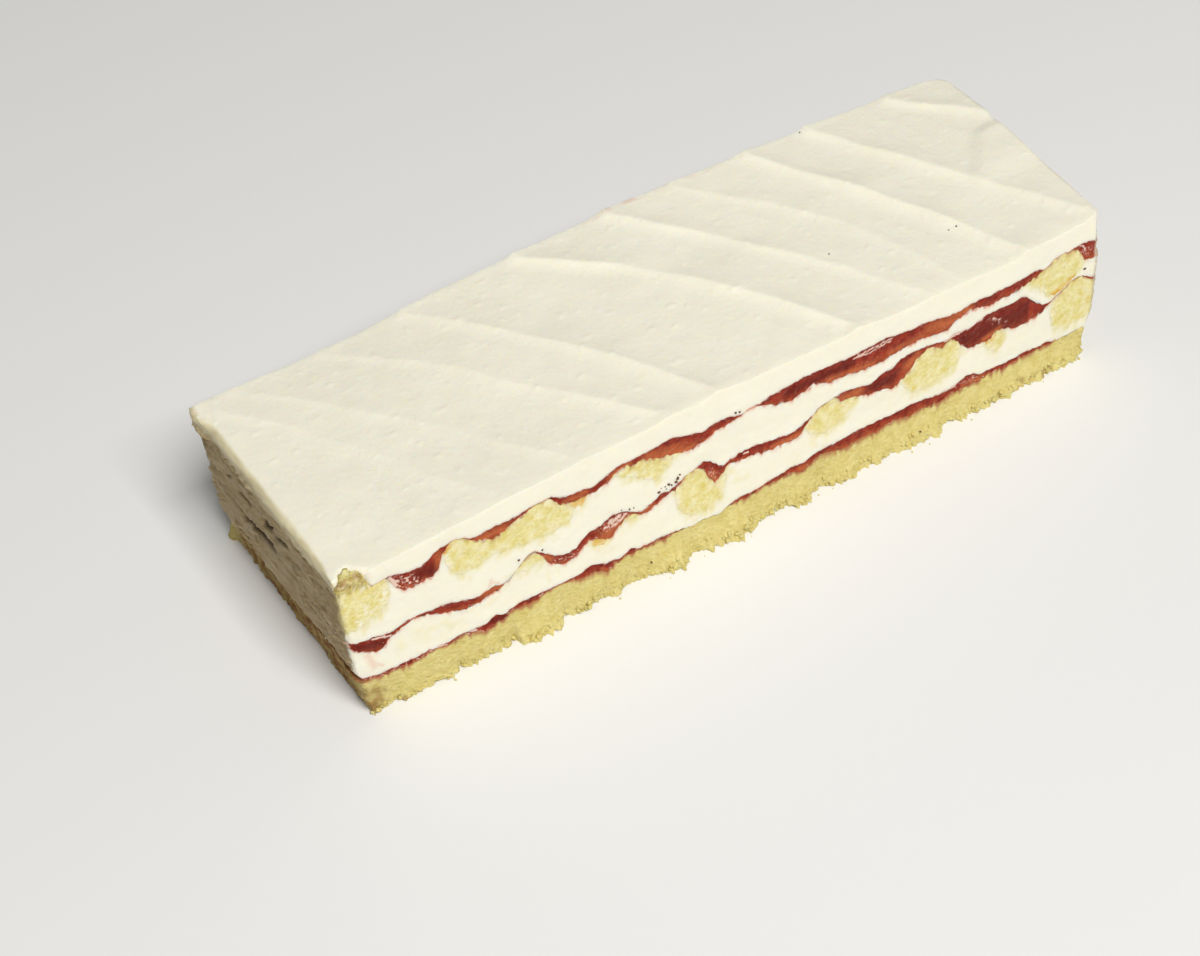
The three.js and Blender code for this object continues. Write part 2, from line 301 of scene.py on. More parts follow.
def jam_thickness(line, x):
    return height_on(line, x + HALF_LENGTH, 1) - height_on(line, x + HALF_LENGTH, 2)


def jam_floor(line, seed, x, y):
    thickness = jam_thickness(line, x)
    ragged = 2 * wobble(x, y, seed + 1) * ease(0.3, 1.5, thickness)
    return jam_top(line, seed, x, y) - max(thickness + ragged, THINNEST_JAM)


def jam_faces(line, seed):
    """The upper and the lower face of a spread of jam, as functions of x and y."""
    return partial(jam_top, line, seed), partial(jam_floor, line, seed)


high_jam_top, high_jam_floor = jam_faces(HIGH_JAM, 1)
middle_jam_top, middle_jam_floor = jam_faces(MIDDLE_JAM, 4)
low_jam_top, low_jam_floor = jam_faces(LOW_JAM, 7)
left_rise = low_jam_top(-HALF_LENGTH, FRONT) - low_jam_top(-HALF_LENGTH, BACK)
print("at the left end the low jam lies", round(left_rise, 1), "mm higher in front than behind")

# %% [markdown]
# ## Broken sponge in the cream
#
# Torn pieces of sponge lie under the two upper spreads of jam and hang into the cream. Each
# one runs through the cake like a short beam, and is written as the line of its underside.
# Three more scraps are smaller. Two of them are steeped in juice and have gone orange.

# %% Pieces of sponge
HIGH_PIECES = [  # station, underside
    [(-3, 35.4), (2, 35.6), (9, 36), (12.5, 37.6), (14.4, 41), (15.4, 46), (15.9, 49)],
    [(31.2, 48), (32.2, 43.5), (34, 38.2), (36, 35.6), (41, 36.6), (47, 38), (53, 36.6), (64, 34.7),
     (70.5, 35.6), (72.6, 39), (73.4, 43)],
    [(85, 46.6), (88, 43.6), (93, 40.6), (97, 37), (100, 34.5), (104, 37.2), (108, 41.2), (110.5, 43)],
    [(233, 40), (236, 37.6), (240, 33), (242, 29.7), (246, 28.7), (250, 30.4), (254, 33.6),
     (256.4, 37.5), (257.6, 41)],
]
MIDDLE_PIECES = [
    [(50.4, 27.6), (53, 26), (57, 25.2), (60, 25.2), (63, 27.4)],
    [(105, 29), (106, 21), (109, 14.4), (114, 12.6), (119, 12.2), (122, 14.8), (123.8, 19),
     (124.3, 24.5)],
    [(151, 28), (152.4, 23.4), (156, 20.4), (161, 19.4), (166, 21.2), (170, 24.8), (172, 29)],
    [(185.4, 26), (188, 21.6), (191, 18.2), (197, 16.4), (204, 17.8), (208, 21), (210, 27)],
    [(217.6, 24.8), (219.5, 19.8), (223, 17.2), (226, 19.6), (227.6, 25.5)],
    [(243, 27.5), (244.4, 18), (246.2, 13.4), (250, 12), (256, 12.4), (263, 14)],
]
STEEPED_HIGH = [(70, 44.8), (72, 41.6), (74.5, 39.4), (77, 41.2), (78.8, 43.9)]
STEEPED_MIDDLE = [(76.4, 25.4), (77.6, 21), (80, 19.3), (82.4, 20.2), (83.8, 23.2)]
PALE_MIDDLE = [(85.8, 26), (88, 23.8), (91.5, 23.6), (94, 26)]
WELL_INSIDE = 9  # past these two, how far in or out makes no difference
WELL_OUTSIDE = -6


def piece_span(piece):
    """Where a piece starts and ends along the cake."""
    start = max(piece[0][0] - HALF_LENGTH, -HALF_LENGTH)
    return start, min(piece[-1][0] - HALF_LENGTH, HALF_LENGTH)


def piece_floor(piece, x, y):
    ragged = 2.2 * wobble(x, y, piece[0][0])
    return height_on(piece, x + HALF_LENGTH) + settling(x, y, piece[0][0] / 7) + ragged


def inside_piece(piece, x, y, z):
    """How far a point lies inside the outline of a piece, in millimetres."""
    start, end = piece_span(piece)
    ends = WELL_INSIDE if start == -HALF_LENGTH else x - start
    ends = min(ends, WELL_INSIDE if end == HALF_LENGTH else end - x)
    if ends < WELL_OUTSIDE:
        return WELL_OUTSIDE
    return min(ends, z - piece_floor(piece, x, y))


def melting(point, inside):
    """The share of cream in the rim of a piece: 1 outside it and 0 well inside it."""
    ragged = 2.7 * noise.noise(point / 2.8) + 1.2 * noise.noise(point / 0.9)
    return ease(3.8, -2.6, inside + ragged)


print(len(HIGH_PIECES) + len(MIDDLE_PIECES), "pieces and 3 scraps")

# %% [markdown]
# ## A block for each layer
#
# Every layer is a flat block whose upper and lower faces follow two surfaces. It starts as a
# grid, which is extruded upwards, and only its walls are subdivided finely: the cut sides
# are what the eye sees, and the faces between the layers never show. A voxel remesh of the
# whole cake would be simpler to write, but it would melt the sharp lines between layers.

# %% Blocks
CELL = 4  # the grid is this coarse where nothing is seen
WALL_CUTS = 7  # and each edge of a wall is cut this many times


def is_upright(edge):
    return abs(edge.verts[0].co.z - edge.verts[1].co.z) > 0.5


def is_wall(face):
    return abs(face.normal.z) < 0.5


def is_wall_or_top(face):
    return face.normal.z > -0.5


def unit_block(length, rows, cell=CELL):
    """A block of cells, one unit each way, one row or more high."""
    block = bmesh.new()
    columns = max(round(length / cell), 1)
    ranks = round(2 * HALF_WIDTH / CELL)
    bmesh.ops.create_grid(block, x_segments=columns, y_segments=ranks, size=0.5)
    bmesh.ops.translate(block, verts=block.verts[:], vec=(0.5, 0.5, 0))
    raised = bmesh.ops.extrude_face_region(block, geom=block.faces[:])["geom"]
    upper = [item for item in raised if isinstance(item, bmesh.types.BMVert)]
    bmesh.ops.translate(block, verts=upper, vec=(0, 0, 1))
    bmesh.ops.recalc_face_normals(block, faces=block.faces[:])
    uprights = [edge for edge in block.edges if is_upright(edge)]
    bmesh.ops.subdivide_edges(block, edges=uprights, cuts=rows - 1)
    return block


def divide(block, wanted, cuts):
    """Divides every edge of the wanted faces."""
    edges = [edge for edge in block.edges if any(wanted(face) for face in edge.link_faces)]
    bmesh.ops.subdivide_edges(block, edges=edges, cuts=cuts, use_grid_fill=True)


sample = unit_block(LENGTH, 3)
divide(sample, is_wall, WALL_CUTS)
print("a block with fine walls has", len(sample.verts), "vertices")
sample.free()

# %% [markdown]
# ## The outline of the cut
#
# A knife leaves nearly square corners, and the far right corner was rubbed round as the
# cake was lifted. A point near a corner is pushed onto an arc, and the direction from the
# middle of that arc is the way out of the cake there. The relief of each cut is laid on
# along that direction, so that walls, corners and ends are treated alike.

# %% Outline
CORNER_RADIUS = 1.4
RUBBED_RADIUS = 7


def clamp(value, limit):
    return min(max(value, -limit), limit)


def on_outline(x, y, half_length=HALF_LENGTH):
    """The place of a point on the rounded outline, and the way out there."""
    radius = RUBBED_RADIUS if x > 0 and y > 0 else CORNER_RADIUS
    core = Vector((clamp(x, half_length - radius), clamp(y, HALF_WIDTH - radius)))
    arm = Vector((x, y)) - core
    if arm.length < TINY:
        return core, Vector((0, 0))
    outward = arm.normalized()
    return core + outward * max(abs(arm.x), abs(arm.y)), outward


corner = on_outline(HALF_LENGTH, BACK)[0]
print("far right corner stands at", round(corner.x, 1), round(corner.y, 1))

# %% [markdown]
# ## Relief of the cuts
#
# The long cuts are clean: the knife leaves broad shallow waves. The short ends were wiped
# by the flat of the knife, which dragged cream over the jam and the sponge in streaks that
# run along the layers, tore off small flakes, and left open slits where a layer pulled
# back. All layers share this relief, so it crosses the lines between them unbroken.

# %% Waves, streaks and slits
LEFT_SLITS = [  # from y, to y, height at each, half height, depth
    (21, 0, 29.6, 33, 1.5, 3.6),
    (4, -3, 41, 44.4, 1.2, 2.8),
    (20, 11, 41, 41.4, 0.6, 1.6),
    (-2, -12, 40.6, 44.6, 0.7, 1.6),
    (-8, -18, 38.8, 40.8, 0.5, 1.2),
    (-21, -27, 30.4, 32.2, 0.5, 1.2),
    (28, 23, 40.6, 44, 0.5, 1.2),
]
RIGHT_BULGE = [  # height, how far the right end stands out
    (0, 0), (10, -0.2), (15, 1.6), (22, 2.2), (38, 1.8), (48, 0.6), (60, 0.2),
]
SMEAR_SLANT = 0.16  # the wiping strokes slope this much


def knife_waves(x, z):
    return 0.3 * noise.noise((x / 24, z / 16, 3)) + 0.12 * noise.noise((x / 6, z / 4, 9))


def streak(y, z, length, width, seed):
    """Noise drawn out the way the flat of the knife was wiped."""
    return noise.noise((y / length, (z + SMEAR_SLANT * y) / width, seed))


def smear_streaks(y, z, side):
    broad = streak(y, z, 24, 6, side * 7)
    return 0.5 * broad + 0.55 * streak(y, z, 12, 1.7, side * 5) + 0.3 * streak(y, z, 6, 0.7, side * 3)


def torn_flakes(y, z, side):
    """Flakes of cream that stuck to the knife and tore off again, here and there."""
    flakes = streak(y, z, 2.4, 1.5, side) + 0.5 * streak(y, z, 1, 1, side)
    return 0.9 * flakes * ease(-0.35, 0.3, streak(y, z, 11, 8, side * 9))


def slit_depth(y, z):
    depth = 0
    for y0, y1, z0, z1, half_height, deepest in LEFT_SLITS:
        share = (y - y0) / (y1 - y0)
        if 0 < share < 1:
            away = (z - mix(z0, z1, share)) / half_height
            depth += deepest * math.sin(math.pi * share) ** 0.5 * math.exp(-away * away)
    return depth


print("the first slit, halfway along:", round(slit_depth(10.5, 31.3), 1), "mm deep")

# %% [markdown]
# The relief of an end is the sum of its streaks, its flakes and its bulge, less the slits.
# Two painted marks go with it: a painted shade on both ends, warm like reflected light and
# strongest low down, and the painted shade inside each slit.

# %% Shared relief
ON_SLITS = -0.7  # the way out points this far to the left where the slits are


def end_share(outward):
    """0 on the long cuts and 1 on the ends."""
    return ease(0.5, 0.9, abs(outward.x))


def on_front(outward):
    return outward.y < -0.5


def shared_relief(place, outward, z):
    end = outward.x * outward.x
    relief = (1 - end) * knife_waves(place.x, z + place.y)
    if end > 0:
        bulge = read_line(RIGHT_BULGE, z, 1) if outward.x > 0 else 0
        relief += end * (smear_streaks(place.y, z, outward.x) + bulge)
    slit = slit_depth(place.y, z) if outward.x < ON_SLITS else 0
    return relief + end * max(1 - slit, 0) * torn_flakes(place.y, z, outward.x) - slit


def painted_end_shade(outward, point):
    """How much painted shade, warm like reflected light, lies on an end of the cake."""
    y, z, side = point.y, point.z, outward.x * 6
    film = streak(y, z, 14, 2.4, side) + 0.6 * streak(y, z, 6, 0.9, side)
    # painted shade: strongest low down, faint near the top edge
    amount = mix(1, 0.25, ease(50, 56, z)) + 0.3 * film
    near_corner = ease(FRONT - 0.5, FRONT + 2.5, y) if outward.x < 0 else 0.6
    return end_share(outward) * near_corner * min(max(amount, 0), 1)


def slit_shade(outward, point):
    """How dark a slit is inside."""
    return min(0.75 * slit_depth(point.y, point.z), 1) if outward.x < ON_SLITS else 0


on_left_end = shared_relief(Vector((-HALF_LENGTH, 0)), Vector((-1, 0)), 20)
print("relief of the left end, low down:", round(on_left_end, 2), "mm")

# %% [markdown]
# ## Marks on the front cut
#
# The knife dragged threads of cream over the jam, and juice ran into the cream. Each mark is
# a short stroke from one place to another, with a half width.

# %% Strokes
CREAM_THREADS = [  # from station and height, to station and height, half width
    (170, 45.3, 183, 45.9, 0.25), (169, 45.2, 174, 44.3, 0.25), (174, 44.3, 182.6, 45, 0.25),
    (20.4, 45.8, 21.2, 43.6, 0.2), (16.2, 48.2, 18, 46.6, 0.25), (17.5, 45.4, 18.4, 44.2, 0.15),
    (22.6, 44.6, 23.2, 43, 0.15), (19, 47, 21, 46.2, 0.15), (15.8, 48.6, 16.6, 45.4, 0.9),
    (6.8, 29.9, 12.4, 27.6, 0.35), (83.8, 28.7, 84.8, 28.2, 0.8), (86, 28.9, 87.2, 29.3, 0.7),
    (84.6, 26.8, 85.8, 26.5, 0.5), (88.4, 28.4, 89.6, 28.7, 0.5), (82.4, 27.5, 83, 27, 0.5),
    (87.2, 27.2, 88.2, 27.7, 0.45), (86.4, 27.9, 86.9, 27.6, 0.4), (125.8, 29.3, 127.4, 29.5, 0.3),
    (130.2, 28.9, 131.6, 28.7, 0.35), (217, 35.1, 203, 33.6, 0.45), (255, 44.6, 256, 42, 0.2),
    (201.4, 12.3, 208, 11.9, 0.2), (253.6, 45.4, 255, 44.4, 0.2), (224, 31, 221, 33, 0.15),
    (25, 13.6, 27.4, 13.2, 0.5), (36, 13.4, 38, 12.4, 0.3),
]
SPECKLED_JAM = [  # jam broken up by specks of cream
    (17.5, 48, 20, 43.8, 2.2), (22, 46, 23.5, 43, 1.4), (82, 27.4, 90, 28.6, 2.8), (65, 24, 72, 23, 1.2),
    (104, 29.4, 109, 30.4, 1), (118, 29, 120.6, 25, 1.4), (253, 44, 258, 41, 2),
    (208, 12.6, 216, 11.4, 1.4), (220, 33, 226, 29, 1),
]
GLOWING_JAM = [  # thin jam that lets the light through
    (44, 47, 51, 46.6, 1.9), (30.4, 44, 30.8, 49, 1.1), (71, 45, 77, 45, 1), (86, 46.4, 92, 47.6, 1.2),
    (98, 46, 108, 43.6, 2.2), (108, 43, 113, 42, 1.5), (198, 41.5, 206, 40, 2.6),
    (42, 25.4, 47, 25, 1.5), (62, 28, 64, 25.6, 1), (82, 24.6, 86, 26.4, 2.4), (94, 26, 98, 26, 1.2),
    (118.6, 27, 120.4, 23, 1.4),
    (165, 31, 171, 30.6, 1.8), (189, 31, 193, 33, 1.6), (200, 32.6, 202, 31.6, 1.2),
    (218, 26, 224, 27.6, 1), (140, 26, 150, 25.4, 1), (206, 42, 212, 42, 1.6), (150, 10.6, 153, 10, 1.2),
    (214, 10.6, 218, 10, 1.2), (160, 41.6, 176, 39.4, 1.1), (182, 40, 194, 40.4, 1),
]
DEEP_JAM = [  # pools where the jam lies thickest
    (211, 29.6, 238, 28.4, 4.6), (2, 29, 10, 26.4, 2), (176, 29.6, 183, 29.4, 2),
    (44, 12.6, 47, 12.4, 1.4), (24, 45.4, 29, 45, 2), (146, 44.6, 176, 43.4, 1.8),
]
JUICE_RUNS = [
    (4.8, 24.6, 6, 19, 0.9), (6, 20.6, 8.6, 17.6, 0.4), (44, 27.5, 44.8, 30, 0.4),
    (45, 28.4, 47, 27, 0.4), (257.5, 30.6, 259.8, 29.4, 0.6), (53.6, 31.6, 54.4, 32, 0.3),
]
STEEPED_RUNS = [
    (240.6, 29, 246, 30.6, 1), (246, 30.8, 251, 33.2, 0.9), (251, 33.2, 256, 34.4, 0.6),
    (31, 47.4, 34, 50.6, 0.8), (218.6, 24.4, 222, 25, 0.8),
]
VEILS = [  # crumbs that show faintly through the cream
    (17, 22.5, 33, 19.5, 3.2), (62.3, 22.5, 62.6, 16.8, 0.5), (65, 22, 66.4, 17.2, 0.5),
    (82, 17.6, 86, 17.2, 1), (44, 25.5, 56, 27, 2), (86, 22.4, 94, 24, 1.4), (36, 20, 44, 22, 2),
    (124, 22, 130, 20, 2), (232, 38, 238, 42, 1.6), (152, 20, 158, 17, 1.6),
]
print(len(CREAM_THREADS), "threads of cream and", len(VEILS), "veils")

# %% [markdown]
# One function tells how much of a stroke lies on a point, with a ragged edge, and all
# fillings use it for their marks.

# %% Cover of a stroke
STROKE_REACH = 24  # a stroke marks nothing farther from its start than this


def stroke(strokes, point, core=0.5):
    """How much the nearest stroke covers a point; a smaller core fades out more softly."""
    station = point.x + HALF_LENGTH
    ragged = 0.5 * noise.noise(point / 0.9)
    most = 0
    for x0, z0, x1, z1, half in strokes:
        if abs(station - x0) > STROKE_REACH:
            continue
        run = Vector((x1 - x0, z1 - z0))
        away = Vector((station - x0, point.z - z0))
        share = min(max(away.dot(run) / run.length_squared, 0), 1)
        distance = (away - run * share).length
        most = max(most, 1 - ease(core, 2 - core, distance / half + ragged))
    return most


print("thread at its middle:", round(stroke(CREAM_THREADS, Vector((46, FRONT, 45.1))), 2))

# %% [markdown]
# ## Laying a block between two surfaces
#
# Each corner of a block is moved to its station along the cake, its row across it and its
# share of the height between the two surfaces. Wall corners are then pushed out by the
# relief. Marks such as juice are kept on the corners as attributes, because a material can
# read an attribute but can't know how far a point is from the jam.

# %% Laying a block
# film holds a painted shade on the ends; shade holds the painted shade in the slits and at the top of
# each jam, and the darker jam of its pools; crumb holds crumbs under the cream, and also a painted warm
# light at the top of the left end
CHANNELS = ("juice", "smear", "thin", "amber", "crust", "crumb", "shade", "film")


def lay_between(block, lower, upper, span, relief, paint, half_length):
    """Moves a unit block into place, in millimetres, and paints its corners."""
    channels = {name: block.verts.layers.float.new(name) for name in CHANNELS}
    heights = {}
    for vert in block.verts:
        u, v, share = vert.co
        x = mix(*span, u)
        y = mix(FRONT, BACK, v)
        if (u, v) not in heights:
            heights[u, v] = lower(x, y), upper(x, y)
        low, high = heights[u, v]
        z = mix(low, high, share)
        place, outward = on_outline(x, y, half_length)
        place.x += drift(x, y)
        if outward.length > 0:
            point = Vector((place.x, place.y, z))
            place += outward * (shared_relief(place, outward, z) + relief(point, x, outward, low, high))
            # film is the painted shade of the ends, and shade is the painted shade inside a slit
            marks = {"film": painted_end_shade(outward, point), "shade": slit_shade(outward, point)}
            marks |= paint(point, x, outward, low, high)
            for name, value in marks.items():
                vert[channels[name]] = value
        vert.co = (place.x, place.y, z)


print("channels:", ", ".join(CHANNELS))

# %% [markdown]
# A finished block is scaled to metres and turned into an object, which stands in for a layer
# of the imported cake. One function does the whole job for a layer. It is handed two functions
# of the layer's own: the relief of its walls, and the marks on them.

# %% Making a layer
WHOLE_LENGTH = (-HALF_LENGTH, HALF_LENGTH)


def finish_piece(name, block, material, nodes=()):
    """Turns a block in millimetres into an object in metres."""
    bmesh.ops.scale(block, verts=block.verts[:], vec=(MM, MM, MM))
    for face in block.faces:
        face.smooth = True
    mesh = bpy.data.meshes.new(name)
    block.to_mesh(mesh)
    block.free()
    mesh.materials.append(material)
    piece = bpy.data.objects.new(name, mesh)
    bpy.context.collection.objects.link(piece)
    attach(piece, "root")
    if nodes:
        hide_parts(*nodes)
    print(f"{name}: {sum(len(face.vertices) - 2 for face in mesh.polygons)} triangles")


def lay_layer(name, material, nodes, faces, span, relief, paint, rows,
              fine=is_wall, cuts=WALL_CUTS, cell=CELL, half_length=HALF_LENGTH):
    """Makes one layer of the cake between its lower and its upper face."""
    block = unit_block(span[1] - span[0], rows, cell)
    divide(block, fine, cuts)
    for edge in block.edges:  # crisp only where a wall meets a face between layers
        edge.smooth = len({is_wall(face) for face in edge.link_faces}) == 1
    lay_between(block, *faces, span, relief, paint, half_length)
    finish_piece(name, block, material, nodes)


print("a layer runs from", round(WHOLE_LENGTH[0]), "to", round(WHOLE_LENGTH[1]), "mm")

# %% [markdown]
# ## Colours and nodes
#
# Colours are written as hex values, as a painter picks them on screen, and one function
# makes them linear for the renderer. Another adds a node with its settings and links, so
# each material below reads as a list of what it is made of. Pattern sizes are millimetres.

# %% Colour and node helpers
def linear(hex_code):
    """An sRGB hex value as linear red, green, blue and alpha."""
    parts = [int(hex_code[i : i + 2], 16) / 255 for i in (0, 2, 4)]
    return [c / 12.92 if c <= 0.04045 else ((c + 0.055) / 1.055) ** 2.4 for c in parts] + [1]


def add(tree, kind, settings=None, inputs=None):
    """Adds a shader node, sets its properties, and fills its inputs with values or links."""
    node = tree.nodes.new("ShaderNode" + kind)
    for name, value in (settings or {}).items():
        setattr(node, name, value)
    for name, value in (inputs or {}).items():
        if isinstance(value, bpy.types.NodeSocket):
            tree.links.new(value, node.inputs[name])
        else:
            node.inputs[name].default_value = value
    return node


def scale_for(size_mm):
    """The Scale of a pattern whose features are this many millimetres across."""
    return 1 / (size_mm * MM)


print("a 2 mm pattern has scale", scale_for(2))

# %% [markdown]
# Every material starts with the place on the object, lays its marks over its own colour, and
# ends with a bump and a surface. Three short functions take up those parts.

# %% Parts that materials share
COLOUR_A = 6  # the sockets of a Mix node in colour mode
COLOUR_B = 7
COLOUR_OUT = 2
PAINTED_END_SHADES = {"film": "A9936A", "shade": "3E2C1E"}  # painted shade on the ends, warm like reflected light, and painted shade inside a slit


def blank_material(name):
    """A material with nothing in it but the place on the object, in metres."""
    material = bpy.data.materials.new(name)
    material.use_nodes = True
    tree = material.node_tree
    tree.nodes.clear()
    return material, tree, add(tree, "TexCoord").outputs["Object"]


def lay_marks(tree, colour, marks):
    """Lays a tint over a colour wherever the attribute of the same mark was painted."""
    for channel, hex_code in marks.items():
        mark = add(tree, "Attribute", {"attribute_name": channel})
        colour = add(tree, "Mix", {"data_type": "RGBA"}, {
            "Factor": mark.outputs["Fac"],
            COLOUR_A: colour.outputs[COLOUR_OUT], COLOUR_B: linear(hex_code),
        })
    return colour


def close_material(tree, colour, height, strength, depth_mm, surface):
    """Ends a tree: a bump, the surface with its colour, and the output."""
    bump = add(tree, "Bump", inputs={"Height": height, "Strength": strength, "Distance": depth_mm * MM})
    skin = add(tree, "BsdfPrincipled", inputs=surface | {
        "Base Color": colour.outputs[COLOUR_OUT], "Normal": bump.outputs["Normal"],
    })
    add(tree, "OutputMaterial", inputs={"Surface": skin.outputs["BSDF"]})
    print("a material of", len(tree.nodes), "nodes")


print("marks of the ends:", ", ".join(PAINTED_END_SHADES))

# %% [markdown]
# ## Whipped cream
#
# Dairy cream whipped with a little sugar is an opaque foam of fat and air. Light goes a few
# millimetres in and comes out warm and soft, so it has strong subsurface scattering and a
# satin skin. Its colour isn't white but ivory. Bubbles under a millimetre wide leave faint
# pits, drawn here as wide as they need to be to show.

# %% Cream material
cream, tree, place = blank_material("whipped_dairy_cream")
cloud = add(tree, "TexNoise", inputs={"Vector": place, "Scale": scale_for(11), "Detail": 4})
colour = add(tree, "Mix", {"data_type": "RGBA"}, {
    "Factor": cloud.outputs["Fac"], COLOUR_A: linear("F7F2E0"), COLOUR_B: linear("F1EBD5"),
})
# juice is a stain; crumb is crumbs under the cream, and at the top of the left end a painted warm
# reflected light; the end marks are painted shade
colour = lay_marks(tree, colour, {"juice": "D98C74", "crumb": "E7DA98"} | PAINTED_END_SHADES)
grain = add(tree, "TexNoise", inputs={"Vector": place, "Scale": scale_for(1.6), "Detail": 4})
close_material(tree, colour, grain.outputs["Fac"], 0.45, 0.4, {
    "Roughness": 0.5, "IOR": 1.4, "Specular IOR Level": 0.25,
    "Subsurface Weight": 0.5, "Subsurface Radius": (1, 0.8, 0.5), "Subsurface Scale": 2 * MM,
})

# %% [markdown]
# ## Strawberry jam
#
# Cooked strawberry jam is fruit pulp in a clear red gel. Cut with a knife it is moist rather
# than glossy: dark where it lies thick under the cream, and orange where it is thin enough
# for light to come back through it. Cream breaks it up in threads and fine specks. Its
# attribute says how much cream there is, and a noise under a millimetre wide, added before
# the threshold, turns that amount into specks. Where there is no cream the noise still leaves
# a few pale specks, which are painted glints on the wet gel.

# %% Jam material
jam, tree, place = blank_material("cooked_strawberry_jam")
pulp = add(tree, "TexNoise", inputs={
    "Vector": place, "Scale": scale_for(2.2), "Detail": 6, "Roughness": 0.7,
})
pulp_share = add(tree, "MapRange", inputs={
    "Value": pulp.outputs["Fac"], "From Min": 0.32, "From Max": 0.68,
})
clear = add(tree, "MapRange", inputs={
    "Value": pulp.outputs["Fac"], "From Min": 0.35, "From Max": 0.65, "To Min": 0.55,
})
colour = add(tree, "Mix", {"data_type": "RGBA"}, {
    "Factor": pulp_share.outputs["Result"], COLOUR_A: linear("68160E"), COLOUR_B: linear("A83C26"),
})
# thin is the orange of thin jam; shade is a painted shade at the top of the jam, and the darker jam of
# its pools
for channel, hex_code in (("thin", "C0693C"), ("shade", "4A0E0A")):
    mark = add(tree, "Attribute", {"attribute_name": channel})
    uneven = add(tree, "Math", {"operation": "MULTIPLY"}, {
        0: mark.outputs["Fac"], 1: clear.outputs["Result"],
    })
    colour = add(tree, "Mix", {"data_type": "RGBA"}, {
        "Factor": uneven.outputs["Value"],
        COLOUR_A: colour.outputs[COLOUR_OUT], COLOUR_B: linear(hex_code),
    })
smear = add(tree, "Attribute", {"attribute_name": "smear"})
# cream specks where the smear is, and a few painted glints where there is none
specks = add(tree, "TexNoise", inputs={"Vector": place, "Scale": scale_for(0.65), "Detail": 2})
cover = add(tree, "Math", {"operation": "MULTIPLY_ADD"}, {
    0: specks.outputs["Fac"], 1: 1.6, 2: smear.outputs["Fac"],
})
covered = add(tree, "MapRange", inputs={
    "Value": cover.outputs["Value"], "From Min": 1.08, "From Max": 1.45,
})
colour = add(tree, "Mix", {"data_type": "RGBA"}, {
    "Factor": covered.outputs["Result"],
    COLOUR_A: colour.outputs[COLOUR_OUT], COLOUR_B: linear("E3C3B2"),
})
# the painted shade of the ends lies on the jam too
colour = lay_marks(tree, colour, {"film": PAINTED_END_SHADES["film"]})
grain = add(tree, "TexNoise", inputs={"Vector": place, "Scale": scale_for(1), "Detail": 3})
close_material(tree, colour, grain.outputs["Fac"], 0.35, 0.4, {
    "Roughness": 0.36, "IOR": 1.35, "Specular IOR Level": 0.15,
    "Subsurface Weight": 0.15, "Subsurface Radius": (1, 0.3, 0.2), "Subsurface Scale": 1 * MM,
})

# %% [markdown]
# ## Sponge
#
# Sponge is baked egg foam: pale gold, dry and matt, full of torn bubbles about a millimetre
# wide. The sheet at the bottom is the plain one. The broken pieces higher up have drunk
# cream, so they are paler and softer. Both are made by one function with two colours each,
# and both can be stained with juice, smeared with cream, steeped orange or baked brown.

# %% Sponge materials
def sponge_material(name, pale, deep, crust, pore_depth):
    material, tree, place = blank_material(name)
    patches = add(tree, "TexNoise", inputs={
        "Vector": place, "Scale": scale_for(2.6), "Detail": 8, "Roughness": 0.75,
    })
    share = add(tree, "MapRange", inputs={
        "Value": patches.outputs["Fac"], "From Min": 0.34, "From Max": 0.66,
    })
    colour = add(tree, "Mix", {"data_type": "RGBA"}, {
        "Factor": share.outputs["Result"], COLOUR_A: linear(pale), COLOUR_B: linear(deep),
    })
    marks = {"juice": "A9603F", "amber": "DFAA40", "crust": crust, "smear": "F6F0DE"}
    # the painted shade of the ends and of the slits lies on the sponge too
    colour = lay_marks(tree, colour, marks | PAINTED_END_SHADES)
    pores = add(tree, "TexVoronoi", inputs={"Vector": place, "Scale": scale_for(1)})
    close_material(tree, colour, pores.outputs["Distance"], 0.6, pore_depth, {
        "Roughness": 0.85, "IOR": 1.4,
        "Subsurface Weight": 0.25, "Subsurface Radius": (1, 0.7, 0.3), "Subsurface Scale": 1 * MM,
    })
    return material


# the crust colour of the baked sponge, dark enough to serve also as painted shade on the base's left end
baked_sponge = sponge_material("baked_egg_sponge", "DED18E", "CCBA6B", "8A602E", 0.6)
soaked_sponge = sponge_material("cream_soaked_sponge", "F0E8B6", "DAC868", "A68C46", 0.35)

# %% [markdown]
# ## The cream layers
#
# Cream fills the space between one jam and the next. Its cut is nearly smooth, and it sinks
# back where a piece of sponge sits in it, so that the sponge shows in front. Juice has crept
# into it just under the jam.

# %% Cream layers
def sponge_cover(pieces, point, x):
    """How deep a point lies inside the nearest piece of sponge."""
    return max(inside_piece(piece, x, point.y, point.z) for piece in pieces)


def ragged_patch(point, size, low, high):
    """A patchy share: 0 where the noise is under low, 1 where it is over high."""
    return ease(low, high, noise.noise(point / size))


def bare_corner(outward, y):
    """1 on the long cuts, and on the left end close to the near corner, where it isn't wiped."""
    return max(abs(outward.y), ease(FRONT + 9, FRONT + 5, y) if outward.x < 0 else 0)


